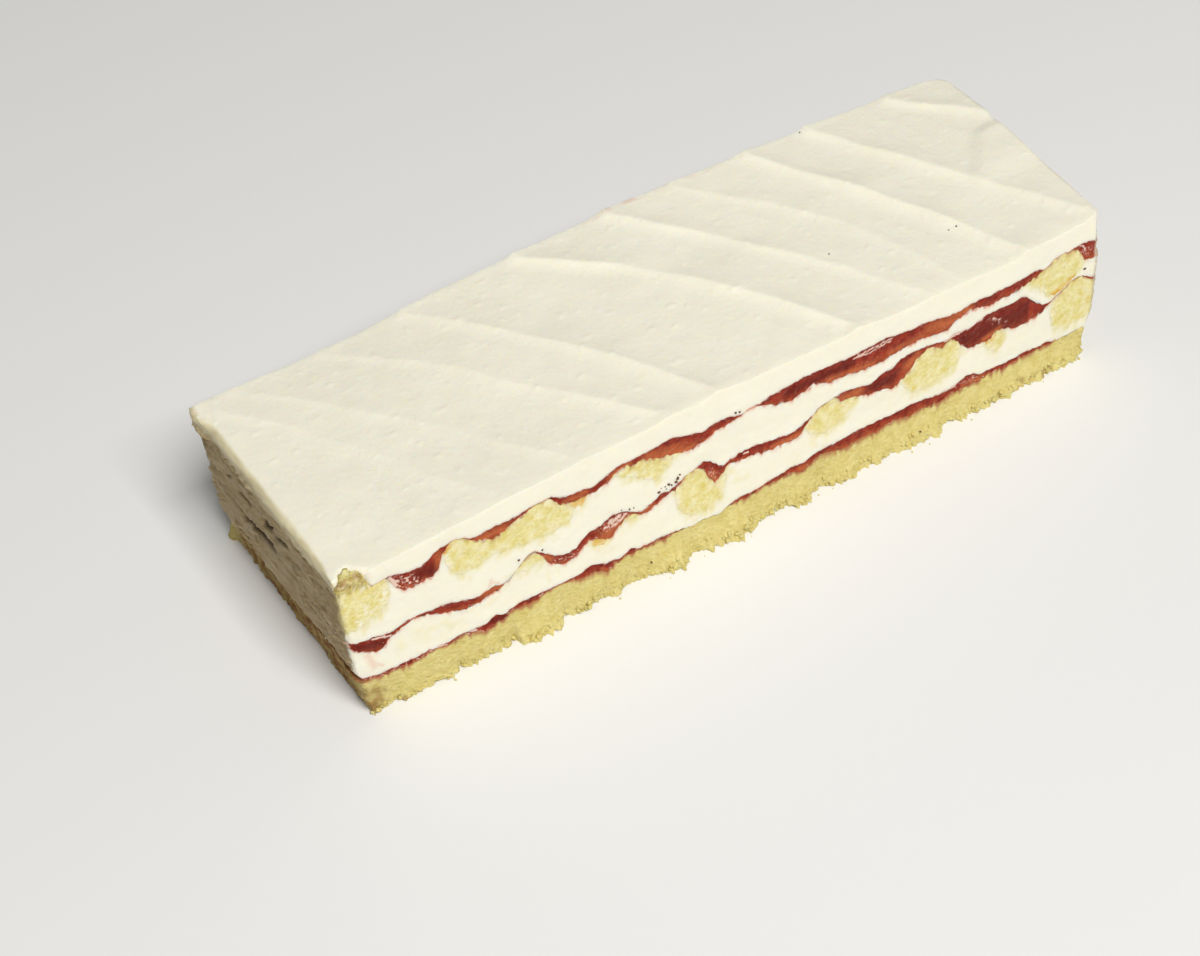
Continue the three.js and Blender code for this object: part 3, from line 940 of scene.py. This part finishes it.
def cream_layer(name, faces, pieces, jam_below):
    def relief(point, x, outward, low, high):
        covered = sponge_cover(pieces, point, x)
        sunk = -0.8 * ease(0.9, 2.4, covered) * bare_corner(outward, point.y)
        return sunk + 0.1 * noise.noise(point / 3) + 0.06 * noise.noise(point / 1.1)

    def paint(point, x, outward, low, high):
        reach = 0.55 + 0.35 * noise.noise(point / 1.4)
        under_jam = 0.9 * math.exp(-(high - point.z) / reach) * ragged_patch(point, 2.5, -0.5, 0.3)
        over_jam = 0.7 * math.exp(-(point.z - low) / 0.35) * ragged_patch(point, 1.8, -0.2, 0.4)
        under_jam = max(under_jam, over_jam * ease(0.1, 0.9, jam_thickness(jam_below, x)))
        crumb = 1 - melting(point, sponge_cover(pieces, point, x))
        if on_front(outward):
            under_jam = max(under_jam, 0.35 * stroke(JUICE_RUNS, point, -0.2))
            crumb = max(crumb, 0.35 * stroke(VEILS, point) * ragged_patch(point, 3, -0.4, 0.6))
        return {"juice": under_jam, "crumb": crumb}

    lay_layer(f"{name}_cut", cream, [name], faces, WHOLE_LENGTH, relief, paint, 4)


low_faces = (low_jam_top, middle_jam_floor)
cream_layer("cream_low", low_faces, MIDDLE_PIECES + [STEEPED_MIDDLE, PALE_MIDDLE], LOW_JAM)
cream_layer("cream_middle", (middle_jam_top, high_jam_floor), HIGH_PIECES + [STEEPED_HIGH], MIDDLE_JAM)

# %% [markdown]
# ## The jam layers
#
# Jam swells in soft lumps on the cut. Where it is only a film it hides behind its neighbours.
# A thin band of painted shade darkens its top, just under the layer above, and it is darker
# where it pools thick; it is paler at its floor, where it soaks into what lies below. On the
# wiped ends a coat of cream covers nearly all of it. The lowest jam is the thinnest spread,
# and has lost colour along the left half of the cut.

# %% Jam layers
def end_coat(outward, point, amount):
    """How much wiped cream covers an end of the cake."""
    patch = 1.2 * streak(point.y, point.z, 9, 1.6, outward.x * 4)
    return end_share(outward) * min(max(amount + patch, 0), 1)


def rim_specks(point, low, high):
    """Cream breaks up both rims of the jam, here and there."""
    from_rim = min(high - point.z, point.z - low)
    return 0.4 * (1 - ease(0, 0.8, from_rim)) * ragged_patch(point, 2.2, -0.3, 0.3)


def jam_layer(name, faces, rows, span=WHOLE_LENGTH):
    lowest = name == "jam_low"

    def relief(point, x, outward, low, high):
        film = -0.7 * (1 - ease(0.15, 0.8, high - low))
        return film - 0.1 + 0.22 * noise.noise(point / 2.2) + 0.12 * noise.noise(point / 0.9)

    def paint(point, x, outward, low, high):
        thick = high - low
        down = (high - point.z) / max(thick, 0.01)
        ragged = 0.4 * noise.noise(point / 1.5)
        thin = (0.8 if lowest else 0.6) * ease(0.45, 1.15, down + ragged)
        thin = max(thin, 0.5 * (1 - ease(0.5, 2.2, thick)))
        # painted shade: a thin dark band at the top of the jam, just under the layer above
        shade = 0.8 * math.exp(-(high - point.z) / 0.5) * ease(0.6, 1.6, thick)
        smear = max(end_coat(outward, point, 1.3), rim_specks(point, low, high))
        if lowest:
            smear = max(smear, 0.4 * (1 - ease(0.3, 0.8, thick)))
            dusk = mix(0.3, 0.42, ease(-60, -100, point.x)) * ease(5, -15, point.x)
            patchy = mix(0.5, 1, ragged_patch(point, 3, -0.5, 0.3)) * ease(0.2, 0.7, high - point.z)
            smear = max(smear, dusk * (1 - ease(1.4, 2.6, thick)) * patchy)
        else:
            smear = max(smear, 1 - ease(0.15, 0.7, thick))
        if on_front(outward):
            deep = stroke(DEEP_JAM, point, 0)
            # darker jam where it pools thick: its own colour
            shade = max(shade, 0.75 * deep)
            thin = max(thin * (1 - 0.8 * deep), stroke(GLOWING_JAM, point, -0.2))
            smear = max(smear, stroke(CREAM_THREADS, point), 0.27 * stroke(SPECKLED_JAM, point, 0))
        else:
            thin = max(thin, 0.8 * ragged_patch(point, 5, 0.1, 0.5))
            smear = max(smear, 0.3 * ragged_patch(point, 4, 0.1, 0.5))
        return {"thin": thin, "smear": smear, "shade": shade * (1 - thin)}

    lay_layer(f"{name}_cut", jam, [name], faces, span, relief, paint, rows)


jam_layer("jam_low", (low_jam_floor, low_jam_top), 1)
jam_layer("jam_middle", (middle_jam_floor, middle_jam_top), 2)
high_jam_start = HIGH_JAM[0][0] - HALF_LENGTH
jam_layer("jam_high", (high_jam_floor, high_jam_top), 2, (high_jam_start, HALF_LENGTH))

# %% [markdown]
# ## Torn bubbles
#
# The knife tears the sponge open instead of slicing it. Voronoi cells the size of its
# bubbles are sunk into the surface, over a coarser noise that stands for torn crumbs.

# %% Crumb relief
BUBBLE = 1.4


def crumb_relief(point, depth):
    nearest = noise.voronoi(point / BUBBLE)[0][0]
    bubble = 1 - ease(0, 0.55, nearest)
    torn = 0.6 * noise.noise(point / 2.6) + 0.5 * noise.noise(point)
    return depth * (torn - bubble)


print("a bubble is", BUBBLE, "mm across")

# %% [markdown]
# ## The base
#
# The bottom sheet is the only one that stayed whole. It was cut a little short at both ends,
# and its foot was torn rather than cut: clumps of it spread over what the cake stands on,
# with gaps between them. How far the foot spreads along the front is a list of stations, as
# for the jam; the back follows a noise of the same size. The left end is the baked edge of
# the tin, so it is straight and brown, its brown deepened as a painted shade, and golden where
# it comes round to the front.

# %% Line of the foot
FOOT_LINE = [  # station, how far the foot spreads in front
    (0, 0.2), (2.8, 0.5), (7.3, -0.5), (11.4, -0.8), (12.4, 0.2), (14.6, 0.8), (16.4, 1.1), (19.8, 0.4),
    (24, 0), (27, 1.9), (29.5, 0), (31.4, -0.7), (33, 0), (35.5, 0.9), (38, 0), (39.5, 0.9), (43.5, 1),
    (45.4, 0), (46.3, 1.4), (48.3, -0.6), (49.8, 0.2), (50.6, 3.1), (54, 4), (56, 4.3), (58.2, 3.5),
    (61.7, 4.5), (65.5, 0.9), (67.3, 0.3), (69.2, 1.5), (72.6, 2.8), (75.3, 1.3), (78.5, 0.9), (81, 1.7),
    (83, 3), (85.5, 1), (90.8, 0.4), (92.5, 1), (95.2, 1.6), (97.7, 2.6), (100, 4.2), (102.4, 5.2),
    (104.5, 6), (107.9, 2.2), (110.4, 1.1), (111.7, 2.6), (113.4, 2.2), (115, 4.3), (117, 2.9), (120, 4),
    (122.7, 4.6), (124.5, 6), (126.7, 4.5), (128.6, 4.8), (132.7, 2.6), (136, 2.2), (141, 2),
    (143.8, 2.4), (145.8, 4.3), (148, 5.2), (149.7, 4.6), (152.3, 2.4), (156.3, 1.3), (158.2, 2.2),
    (159.4, 3.5), (161.5, 3), (162.8, 4.3), (167, 4.1), (171, 1.8), (174.5, 2.6), (176, 3.9), (179.5, 3),
    (182.7, 2.6), (186, 3.9), (190, 3.9), (193.8, 4.3), (196.3, 3.4), (198, 5), (200, 4), (203.3, 1.4),
    (206, 2.2), (208, 3.9), (210.7, 2.6), (214, 3.9), (216.5, 3), (219, 4), (222.4, 3.2), (225.7, 4.6),
    (228, 3.9), (231, 2.2), (234.5, 3), (236.7, 2.6), (238, 4), (242.5, 2.9), (244.3, 3.4),
    (246.6, 2.8), (248.3, 3.4), (250.7, 2.6), (252.3, 3.4), (255, 2.2), (260, 2.4),
]
print("the foot spreads up to", max(spread for _, spread in FOOT_LINE), "mm in front")

# %% [markdown]
# The foot stands out most at the very bottom and frays there. Just under the jam the sponge
# has drunk juice, in streaks that follow its grain, and it was toasted here and there where
# it lay on the tin.

# %% Base sponge
TOASTED_FOOT = [(232, 1.6, 243, 1.2, 1.3), (11, 1.4, 13, 0.8, 0.8), (1, 2, 3, 0.5, 1.4)]
FRAYED = 1.4  # how far the foot frays in and out


def foot_spread(x, y):
    """How far the foot stands out of the long cuts."""
    if y < 0:
        return read_line(FOOT_LINE, x + HALF_LENGTH, 1) + 0.9 * noise.noise((x / 0.9, 2, 1))
    return FOOT_SPREAD * (0.7 + noise.noise((x / 11, 5, 1)) + 0.4 * noise.noise((x / 4, 5, 1)))


def underside(x, y):
    """The underside: flat, but for its edge, which is lifted here and there."""
    edge = min(BASE_HALF_LENGTH - abs(x), HALF_WIDTH - abs(y))
    return max(1.2 * noise.noise((x / 1.7, y / 1.7, 2)), 0) * (1 - ease(0, 1, edge))


def base_relief(point, x, outward, low, high):
    up = min(max(point.z / high, 0), 1)
    foot = (1 - up) ** 1.8
    frayed = noise.noise(point / 1.9) + 0.8 * noise.noise(point / 0.8)
    side = (foot_spread(x, point.y) * foot + FRAYED * foot * foot * frayed) * abs(outward.y)
    tucked = 2 * up * abs(outward.x) * (1 - depth_share(point.y))
    return side + tucked + crumb_relief(point, mix(0.3, 0.15, ease(0.1, 0.5, up)))


def base_paint(point, x, outward, low, high):
    streaks = noise.noise((point.x / 1.3, point.y / 1.3, point.z / 3))
    blotch = noise.noise((point.x / 5, point.y / 5, 3))
    thick = jam_thickness(LOW_JAM, x)
    reach = max(1.3 + 1.8 * streaks + blotch, 0.3) * ease(0, 2.2, thick)
    soaked = ease(0.1, 0.9, thick) * (1 - ease(0, 1.5, (high - point.z) / max(reach, 0.1)))
    # the left end: a baked crust, made darker as a painted shade
    crust = ease(0.4, 0.9, -outward.x) * mix(0.6, 1, ragged_patch(point, 3, -0.4, 0.4))
    crust *= mix(0.45, 1, ease(FRONT + 2, FRONT + 9, point.y))
    crust *= mix(1, 0.3, ease(BACK - 8, BACK - 2, point.y))
    if outward.y < -0.2:
        golden = ease(7, 1, x + BASE_HALF_LENGTH + 2 * streaks) * ease(13, 8, point.z)
        crust = max(crust, 0.8 * golden * ragged_patch(point, 3, -0.8, 0.1))
    if on_front(outward):
        crust = max(crust, 0.6 * stroke(TOASTED_FOOT, point) * ragged_patch(point, 1.6, -0.2, 0.4))
    # the base takes no painted end shade: its left end is darkened through its crust
    return {"juice": 0.85 * soaked, "crust": min(crust, 1), "film": 0}


base_span = (-BASE_HALF_LENGTH, BASE_HALF_LENGTH)
lay_layer("base_sponge_cut", baked_sponge, ["base_sponge"], (underside, low_jam_floor),
          base_span, base_relief, base_paint, 3, half_length=BASE_HALF_LENGTH)

# %% [markdown]
# ## The tear at the near corner
#
# At the near left corner the knife tore the cream off the topmost piece of sponge, which
# shows there up to the top edge with its browned skin. The tear is a share from 0 to 1 over
# the top of the cake, with a ragged rim, and both the sponge and the cream follow it.

# %% Tear
TEAR_END = 10.4  # along the front cut
TEAR_PEAK = 5  # where it reaches farthest into the cake
PEAK_DEPTH = 3.6  # how much farther it reaches there
PEAK_WIDTH = 2.6


def tear(x, y):
    station = x + HALF_LENGTH
    ragged = 1.1 * noise.noise((x / 1.6, y / 1.6, 6))
    along_cut = ease(TEAR_END, TEAR_END - 2.6, station + ragged)
    reach = 1 + PEAK_DEPTH * math.exp(-((station - TEAR_PEAK) / PEAK_WIDTH) ** 2)
    return along_cut * ease(reach + 0.5, reach - 0.5, y - FRONT + 0.7 * ragged)


def cake_top(x, y):
    station = x + HALF_LENGTH
    return mix(height_on(TOP_LINE, station, 1), height_on(TOP_LINE, station, 2), depth_share(y))


def piece_ceiling(x, y):
    torn = tear(x, y)
    if torn == 0:
        return high_jam_floor(x, y)
    crumbled = noise.noise((x / 1.5, y / 1.5, 9)) + 0.6 * noise.noise(Vector((x, y, 9)) / 0.6)
    rounded = 1.1 * ease(2.2, 0, y - FRONT)
    return mix(high_jam_floor(x, y), cake_top(x, y) + 0.2 - rounded + crumbled, torn)


peak = (TEAR_PEAK - HALF_LENGTH, FRONT + 1)
print("the tear reaches", round(piece_ceiling(*peak) - high_jam_floor(*peak), 1), "mm up")

# %% [markdown]
# ## The pieces of sponge
#
# A piece fills the space between its underside and the jam above it. It stands a hair in
# front of the cream, and its rim melts into the cream: the colour turns to cream over the
# last few millimetres, because the rim is the part that drank most. The corner piece is
# rougher: its browned skin shows in the tear, and it stays bare up to the corner.

# %% Sponge pieces
PIECE_CUTS = 4  # on cells of half the size
SKIN_HEIGHT = (50.4, 52.6)  # where the browned skin begins, and where it is whole


def sponge_piece(name, piece, ceiling, nodes=(), amber=0, crust=0):
    def lower(x, y):
        return min(piece_floor(piece, x, y), ceiling(x, y) - 0.1)

    def relief(point, x, outward, low, high):
        inside = inside_piece(piece, x, point.y, point.z)
        rim = mix(-0.25, 0.05, ease(0, 1.6, inside)) * abs(outward.y)
        torn = crust * ease(46, 52, point.z)
        return rim + crumb_relief(point, 0.12 * ease(0, 2, inside) + 0.02 + 0.5 * torn)

    def paint(point, x, outward, low, high):
        inside = inside_piece(piece, x, point.y, point.z)
        soaked = melting(point, inside)
        bare_end = crust * ease(4, 1.5, x + HALF_LENGTH)
        soaked *= 1 - bare_end * ease(0, 2, inside)
        pale = (0.3 + 0.5 * crust) * ragged_patch(point, 3.5 - 1.5 * crust, 0, 0.6)
        pale *= 1 - 0.8 * bare_end
        stained = math.exp(-(high - point.z) / 0.8) * ragged_patch(point, 2, -0.3, 0.3)
        stained *= ease(0.4, 3, high - low)
        skin = crust * ease(*SKIN_HEIGHT, point.z + 2 * noise.noise(point / 1.6))
        skin *= 0.6 + 0.8 * noise.noise(point / 1.1)
        steeped = amber * ease(-0.4, 2.6, inside + 1.2 * noise.noise(point / 1.4))
        steeped *= mix(0.6, 1, ragged_patch(point, 1.3, -0.3, 0.3))
        if on_front(outward):
            steeped = max(steeped, stroke(STEEPED_RUNS, point) * ragged_patch(point, 2, -0.6, 0.2))
        coat = end_coat(outward, point, 0.9) * (1 - bare_corner(outward, point.y))
        smear = max(soaked, pale, coat)
        return {
            "juice": 0.8 * stained, "smear": smear * (1 - skin) * (1 - steeped),
            "amber": steeped, "crust": max(skin, 0),
        }

    fine = is_wall_or_top if crust else is_wall
    lay_layer(name, soaked_sponge, nodes, (lower, ceiling), piece_span(piece),
              relief, paint, 4, fine, PIECE_CUTS, CELL / 2)


for number, piece in enumerate(HIGH_PIECES, 1):
    node = f"sponge_high_{number}"
    ceiling = piece_ceiling if number == 1 else high_jam_floor
    sponge_piece(f"{node}_cut", piece, ceiling, [node], crust=int(number == 1))
for number, piece in enumerate(MIDDLE_PIECES, 1):
    node = f"sponge_low_{number}"
    sponge_piece(f"{node}_cut", piece, middle_jam_floor, [node])
sponge_piece("steeped_scrap_high", STEEPED_HIGH, high_jam_floor, amber=0.9)
sponge_piece("steeped_scrap_middle", STEEPED_MIDDLE, middle_jam_floor, amber=0.9)
sponge_piece("pale_scrap", PALE_MIDDLE, middle_jam_floor)

# %% [markdown]
# ## The top of the cream
#
# The top was levelled with a palette knife in slanting strokes. Where one stroke stopped and
# the next began, the cream stands up in a low ridge: a bank that steepens towards the crest,
# and a longer slope behind it. The hand swings, so no two ridges are parallel: each is a row
# of stations where its crest crosses the cake, one every 20 mm from the back to the front. A
# dab of spare cream was left near the right end.

# %% Ridges
RIDGES = [  # stations of the crest at y = 40, 20, 0, -20 and -40, then its height behind and in front
    ((0, 16, 29, 40, 52), 0.3, 0.4), ((12, 30, 47, 61, 76), 0.3, 0.4), ((38, 60, 74, 89, 105), 0.3, 1),
    ((66, 82, 97, 110, 122), 0.6, 1.5), ((104, 127, 144, 158.5, 170), 1.2, 1.3),
    ((136, 154, 170, 185, 197), 1.2, 0.5), ((161, 180, 195, 203, 209), 0.6, 0.4),
    ((188, 201.5, 213, 223.5, 232.5), 1.4, 1.6), ((212, 225, 236.5, 248, 258), 1.3, 1.2),
    ((242, 262, 279, 292, 304), 1.1, 1),
]
FIRST_ROW = 40  # the y of the first row of crests, and the step to the next
ROW_STEP = 20
LAST_ROW = 3.999  # just short of the fifth crossing
BANK = 8  # how long a ridge rises before its crest
SLOPE = 9  # how far past the crest it has fallen to about a third
RISE = 1.1  # the share of its height that a ridge has on average
DAB_PLACE = 246


def crest_station(stations, y):
    """Where a crest crosses the cake at y."""
    row = min(max((FIRST_ROW - y) / ROW_STEP, 0), LAST_ROW)
    first = int(row)
    return mix(stations[first], stations[first + 1], row - first)


def ridge_height(x, y):
    station = x + HALF_LENGTH + 1.2 * noise.noise((x / 16, y / 16, 8))
    height = 0
    for stations, rise_behind, rise_in_front in RIDGES:
        past = station - crest_station(stations, y)
        if past <= -BANK:
            continue
        rise = mix(rise_in_front, rise_behind, depth_share(y))
        rise *= RISE + 0.6 * noise.noise((y / 20, stations[0], 4))
        height += rise * ((1 + past / BANK) ** 3 if past < 0 else math.exp(-past / SLOPE))
    return height


def dab(x, y):
    """The dab of spare cream near the right end."""
    across = x + HALF_LENGTH - (DAB_PLACE + 0.8 * y)
    return 0.8 * ease(-3, 5, across) * ease(14, 9, y) * ease(-14, -2, y)


def top_relief(x, y):
    swell = 0.5 * noise.noise((x / 30, y / 30, 1))
    swell += 0.16 * noise.noise((x / 7, y / 7, 2))
    pimple = noise.noise((x / 2.6, y / 2.6, 3))
    return ridge_height(x, y) + dab(x, y) + swell + 0.2 * ease(0.3, 0.7, pimple)


print("highest ridge:", round(max(ridge_height(x, 0) for x in range(-130, 131)), 2), "mm")

# %% [markdown]
# ## The top cream
#
# The top layer is finished on its upper face too, so both its walls and its top are divided
# finely. The knife left its edges crisp, except at the left end, where it was wiped upwards
# and rounded the edge. Points near that edge, on the wall and on the top, are moved onto a
# quarter circle, whose radius varies along the edge as the cream gave way.

# %% Wiped edge
CRISP_RADIUS = 0.1
WIPED_RADIUS = 2.2  # on average


def nears_left_end(x, y):
    return x + HALF_LENGTH < min(y - FRONT, BACK - y)


def edge_radius(x, y):
    """How round the edge is: the wiped one fades out towards its corners."""
    if not nears_left_end(x, y):
        return CRISP_RADIUS
    round_share = ease(1, 12, y - FRONT) * ease(1, 12, BACK - y)
    uneven = 1 + 0.3 * noise.noise((x / 9, y / 9, 12))
    return mix(CRISP_RADIUS, WIPED_RADIUS * uneven, round_share)


def round_edge(place, outward, z, high, inside, radius, on_wall):
    """Moves a point near an upper edge onto its quarter circle."""
    away = high - z if on_wall else inside
    if away >= radius:
        return place, z
    turned = away / radius if on_wall else -away / radius
    angle = math.pi / 4 * (1 - turned)
    place = place + outward * (inside - radius * (1 - math.cos(angle)))
    return place, high - radius * (1 - math.sin(angle))


print("edge radius halfway along the left end:", round(edge_radius(-HALF_LENGTH, 0), 2), "mm")

# %% [markdown]
# The layer itself ends where the corner piece shows through it. At the far left corner the
# cream stands out in a small lip. A little juice was dragged up over the back edge, a short
# way past its middle.

# %% Top cream
CORNER_LIP = 1.6  # how far the cream stands out at the far left corner
TOP_CUTS = 5
BLUSH_PLACE = 32  # the x of the juice on the back edge
BLUSH_REACH = 26  # how far it runs each way


def top_cream():
    block = unit_block(LENGTH, 3)
    divide(block, is_wall_or_top, TOP_CUTS)
    for edge in block.edges:
        on_rim = len({is_wall(face) for face in edge.link_faces}) == 2
        wiped = all(vert.co.x < TINY and vert.co.z > 0.5 for vert in edge.verts)
        edge.smooth = wiped or not on_rim
    juice, film, shade, crumb = [
        block.verts.layers.float.new(name) for name in ("juice", "film", "shade", "crumb")
    ]
    for vert in block.verts:
        u, v, share = vert.co
        x = mix(-HALF_LENGTH, HALF_LENGTH, u)
        y = mix(FRONT, BACK, v)
        place, outward = on_outline(x, y)
        place.x += drift(x, y)
        torn = tear(x, y)
        high = cake_top(x, y) + top_relief(place.x, place.y)
        low = high_jam_top(x, y)
        high = mix(high, low + 1, torn)
        z = mix(low, high, share)
        inside = min(HALF_LENGTH - abs(x), HALF_WIDTH - abs(y))
        on_wall = inside < TINY
        radius = edge_radius(x, y)
        if nears_left_end(x, y) and outward.length == 0:
            outward = Vector((-1, 0))
        if on_wall or share == 1:
            place, z = round_edge(place, outward, z, high, inside, radius, on_wall)
        near_edge = 1 - ease(0, radius, inside)
        if near_edge > 0:
            if outward.x < -0.5:
                place.x -= CORNER_LIP * ease(30, 40, y)
            point = Vector((place.x, place.y, z))
            calm = mix(1, 0.3, ease(min(9, high - low), 2, high - z))  # less relief near the top edge
            pushed = calm * shared_relief(place, outward, z) + 0.1 * noise.noise(point / 3) - 1.5 * torn
            place += outward * pushed * near_edge
            # the painted shade of the wiped end
            vert[film] = painted_end_shade(outward, point) * near_edge
            # painted warm reflected light: the crumb colour tints the top band of the left end
            vert[crumb] = 0.5 * ease(0.5, 0.9, -outward.x) * near_edge
            vert[shade] = slit_shade(outward, point)
        vert[juice] = 0.5 * math.exp(-(z - low) / 0.3) if on_wall else 0
        if y > BACK - 2 and share == 1:
            blush = ease(BLUSH_REACH, 8, abs(x - BLUSH_PLACE))
            vert[juice] = 0.3 * blush * ragged_patch(place.to_3d(), 4, -0.3, 0.3)
        vert.co = (place.x, place.y, z)
    finish_piece("cream_top_cut", block, cream, ["cream_top"])


top_cream()

# %% [markdown]
# ## Crumbs
#
# Torn crumbs cling to the foot of the base, a few have dropped beside it, and some lie in
# the tear at the near corner. Each is a small icosphere with jittered corners, and small
# ones are the most common. They share one mesh, because thousands of objects would only
# slow the file down. Every crumb is shaped in a mesh of its own and then added to the rest,
# because an operator slows down as the mesh it works in grows.

# %% One crumb
rng = random.Random(31)
one_crumb = bpy.data.meshes.new("one_crumb")


def add_crumb(block, centre, size):
    """One crumb: an icosphere pushed out of shape."""
    crumb = bmesh.new()
    bmesh.ops.create_icosphere(crumb, subdivisions=1, radius=size / 2)
    for vert in crumb.verts:
        vert.co *= rng.uniform(0.7, 1.25)
    flattened = Matrix.Diagonal((1, rng.uniform(0.7, 1), rng.uniform(0.6, 0.9), 1))
    turned = Matrix.Rotation(rng.uniform(0, math.tau), 4, "Z")
    crumb.transform(Matrix.Translation(centre) @ turned @ flattened)
    for vert in crumb.verts:
        vert.co.z = max(vert.co.z, 0)
    crumb.to_mesh(one_crumb)
    crumb.free()
    block.from_mesh(one_crumb)


print("the foot is", round(2 * (LENGTH + 2 * HALF_WIDTH)), "mm long all the way round")

# %% [markdown]
# Three rounds scatter them: on the foot, beside it, and in the tear. Most lie low, because a
# random share that is raised to a power comes out small more often.

# %% Scattered crumbs
CLINGING = 2400
LOOSE = 22
TORN = 90


def foot_place(around):
    """A place on the foot of the base, and the way out there, for a share of the way round."""
    side = rng.choice("front front front front back back back back right".split())
    if side == "right":
        y = mix(FRONT, BACK, around)
        return Vector((BASE_HALF_LENGTH + drift(BASE_HALF_LENGTH, y), y)), Vector((1, 0))
    x = mix(-BASE_HALF_LENGTH, BASE_HALF_LENGTH, around)
    outward = -1 if side == "front" else 1
    y = outward * HALF_WIDTH
    return Vector((x + drift(x, y), y + 0.85 * outward * foot_spread(x, y))), Vector((0, outward))


block = bmesh.new()
for _ in range(CLINGING):
    place, outward = foot_place(rng.random())
    size = mix(0.5, 1.9, rng.random() ** 1.8)
    up = 2.6 * rng.random() ** 2
    place += outward * (rng.uniform(-0.6, 0.3) - 0.5 * up)
    add_crumb(block, (place.x, place.y, rng.uniform(0.3, 0.6) * size + up), size)
for _ in range(LOOSE):
    place, outward = foot_place(rng.random())
    size = rng.uniform(0.4, 1.1)
    place += outward * rng.uniform(0.8, 3.2)
    add_crumb(block, (place.x, place.y, 0.35 * size), size)
for _ in range(TORN):
    x = rng.uniform(-HALF_LENGTH, 10 - HALF_LENGTH)
    y = FRONT + rng.uniform(-0.4, 4.5)
    size = mix(0.4, 1.3, rng.random() ** 1.5)
    down = 4 * rng.random() if y < FRONT + 0.4 else 0.3 * size
    if tear(x, y) > 0.4:
        add_crumb(block, (x, y, piece_ceiling(x, y) - down), size)
finish_piece("sponge_crumbs", block, baked_sponge)

# %% [markdown]
# ## Dark flecks
#
# Charred specks of fruit and loose seeds lie along the middle jam, and four have landed on
# the top. They are tiny, so each is a flattened icosphere of twenty faces.

# %% Fleck material and flecks
fleck, tree, place = blank_material("dried_fruit_fleck")
tone = add(tree, "TexNoise", inputs={"Vector": place, "Scale": scale_for(0.6)})
brown = add(tree, "Mix", {"data_type": "RGBA"}, {
    "Factor": tone.outputs["Fac"], COLOUR_A: linear("452820"), COLOUR_B: linear("775038"),
})
dry = add(tree, "BsdfPrincipled", inputs={
    "Base Color": brown.outputs[COLOUR_OUT], "Roughness": 0.6, "IOR": 1.45,
})
add(tree, "OutputMaterial", inputs={"Surface": dry.outputs["BSDF"]})

FRONT_FLECKS = [  # station, height, length
    (100.6, 30.8, 1.2), (102.8, 31.8, 0.7), (104, 32, 1.1), (105, 31.2, 0.8), (106.4, 31.6, 1.3),
    (107.2, 32.8, 1.5), (107.9, 33.8, 0.8), (103.2, 30.6, 0.6), (101.5, 31.9, 0.5), (90.6, 29.9, 0.8),
    (92, 29.6, 0.6), (88, 31.2, 0.6), (53.9, 32, 0.9), (61.6, 31.4, 1), (127.6, 47.3, 1.1),
    (129, 46.8, 1), (256.4, 34.7, 1.3), (94.9, 6.6, 1), (193, 3.2, 0.8),
]
TOP_FLECKS = [(90, -21, 0.6), (92.6, -21.4, 0.7), (53, -11, 0.6), (79, 41, 0.6)]  # x, y, length
FOOT_HEIGHT = 12  # flecks lower than this lie on the base
FOOT_FLECK_SPREAD = 2.4  # the foot stands out this much where flecks lie on it
block = bmesh.new()
for station, height, size in FRONT_FLECKS:
    x = station - HALF_LENGTH
    spread = FOOT_FLECK_SPREAD if height < FOOT_HEIGHT else 0
    out = shared_relief(Vector((x, FRONT)), Vector((0, -1)), height)
    add_crumb(block, (x, FRONT - out - spread, height), size)
for x, y, size in TOP_FLECKS:
    add_crumb(block, (x, y, cake_top(x, y) + top_relief(x, y)), size)
finish_piece("dark_flecks", block, fleck)
bpy.data.meshes.remove(one_crumb)

# %% [markdown]
# ## Floor, light and view
#
# A plain pale floor catches a soft shadow. One large soft lamp hangs in front, rather high:
# the front cut is then the brightest side, and the light rakes over the ridges of the top.
# The ends are lit only by the room and the floor, and stay in soft shade.

# %% Floor
floor_mesh = bpy.data.meshes.new("floor")
block = bmesh.new()
bmesh.ops.create_grid(block, x_segments=1, y_segments=1, size=4)
block.to_mesh(floor_mesh)
block.free()
floor = bpy.data.objects.new("floor", floor_mesh)
bpy.context.collection.objects.link(floor)
paper = bpy.data.materials.new("matt_paper_floor")
paper.use_nodes = True
paper.node_tree.nodes["Principled BSDF"].inputs["Base Color"].default_value = linear("EDECE9")
paper.node_tree.nodes["Principled BSDF"].inputs["Roughness"].default_value = 0.9
floor_mesh.materials.append(paper)

# %% Light
world = bpy.data.worlds.new("studio")
bpy.context.scene.world = world
world.use_nodes = True
world.node_tree.nodes["Background"].inputs["Color"].default_value = linear("FFFFFF")
world.node_tree.nodes["Background"].inputs["Strength"].default_value = 0.14

WAY_TO_LAMP = Vector((-0.03, -0.575, 0.826)).normalized()
LAMP_DISTANCE = 2.4  # metres
lamp = bpy.data.objects.new("key", bpy.data.lights.new("key", "AREA"))
bpy.context.collection.objects.link(lamp)
lamp.data.size = 1
lamp.data.energy = 56
lamp.location = WAY_TO_LAMP * LAMP_DISTANCE
lamp.rotation_euler = WAY_TO_LAMP.to_track_quat("Z", "Y").to_euler()
print("key lamp:", lamp.data.energy, "W at", LAMP_DISTANCE, "m")
bpy.context.scene.view_settings.view_transform = "Standard"
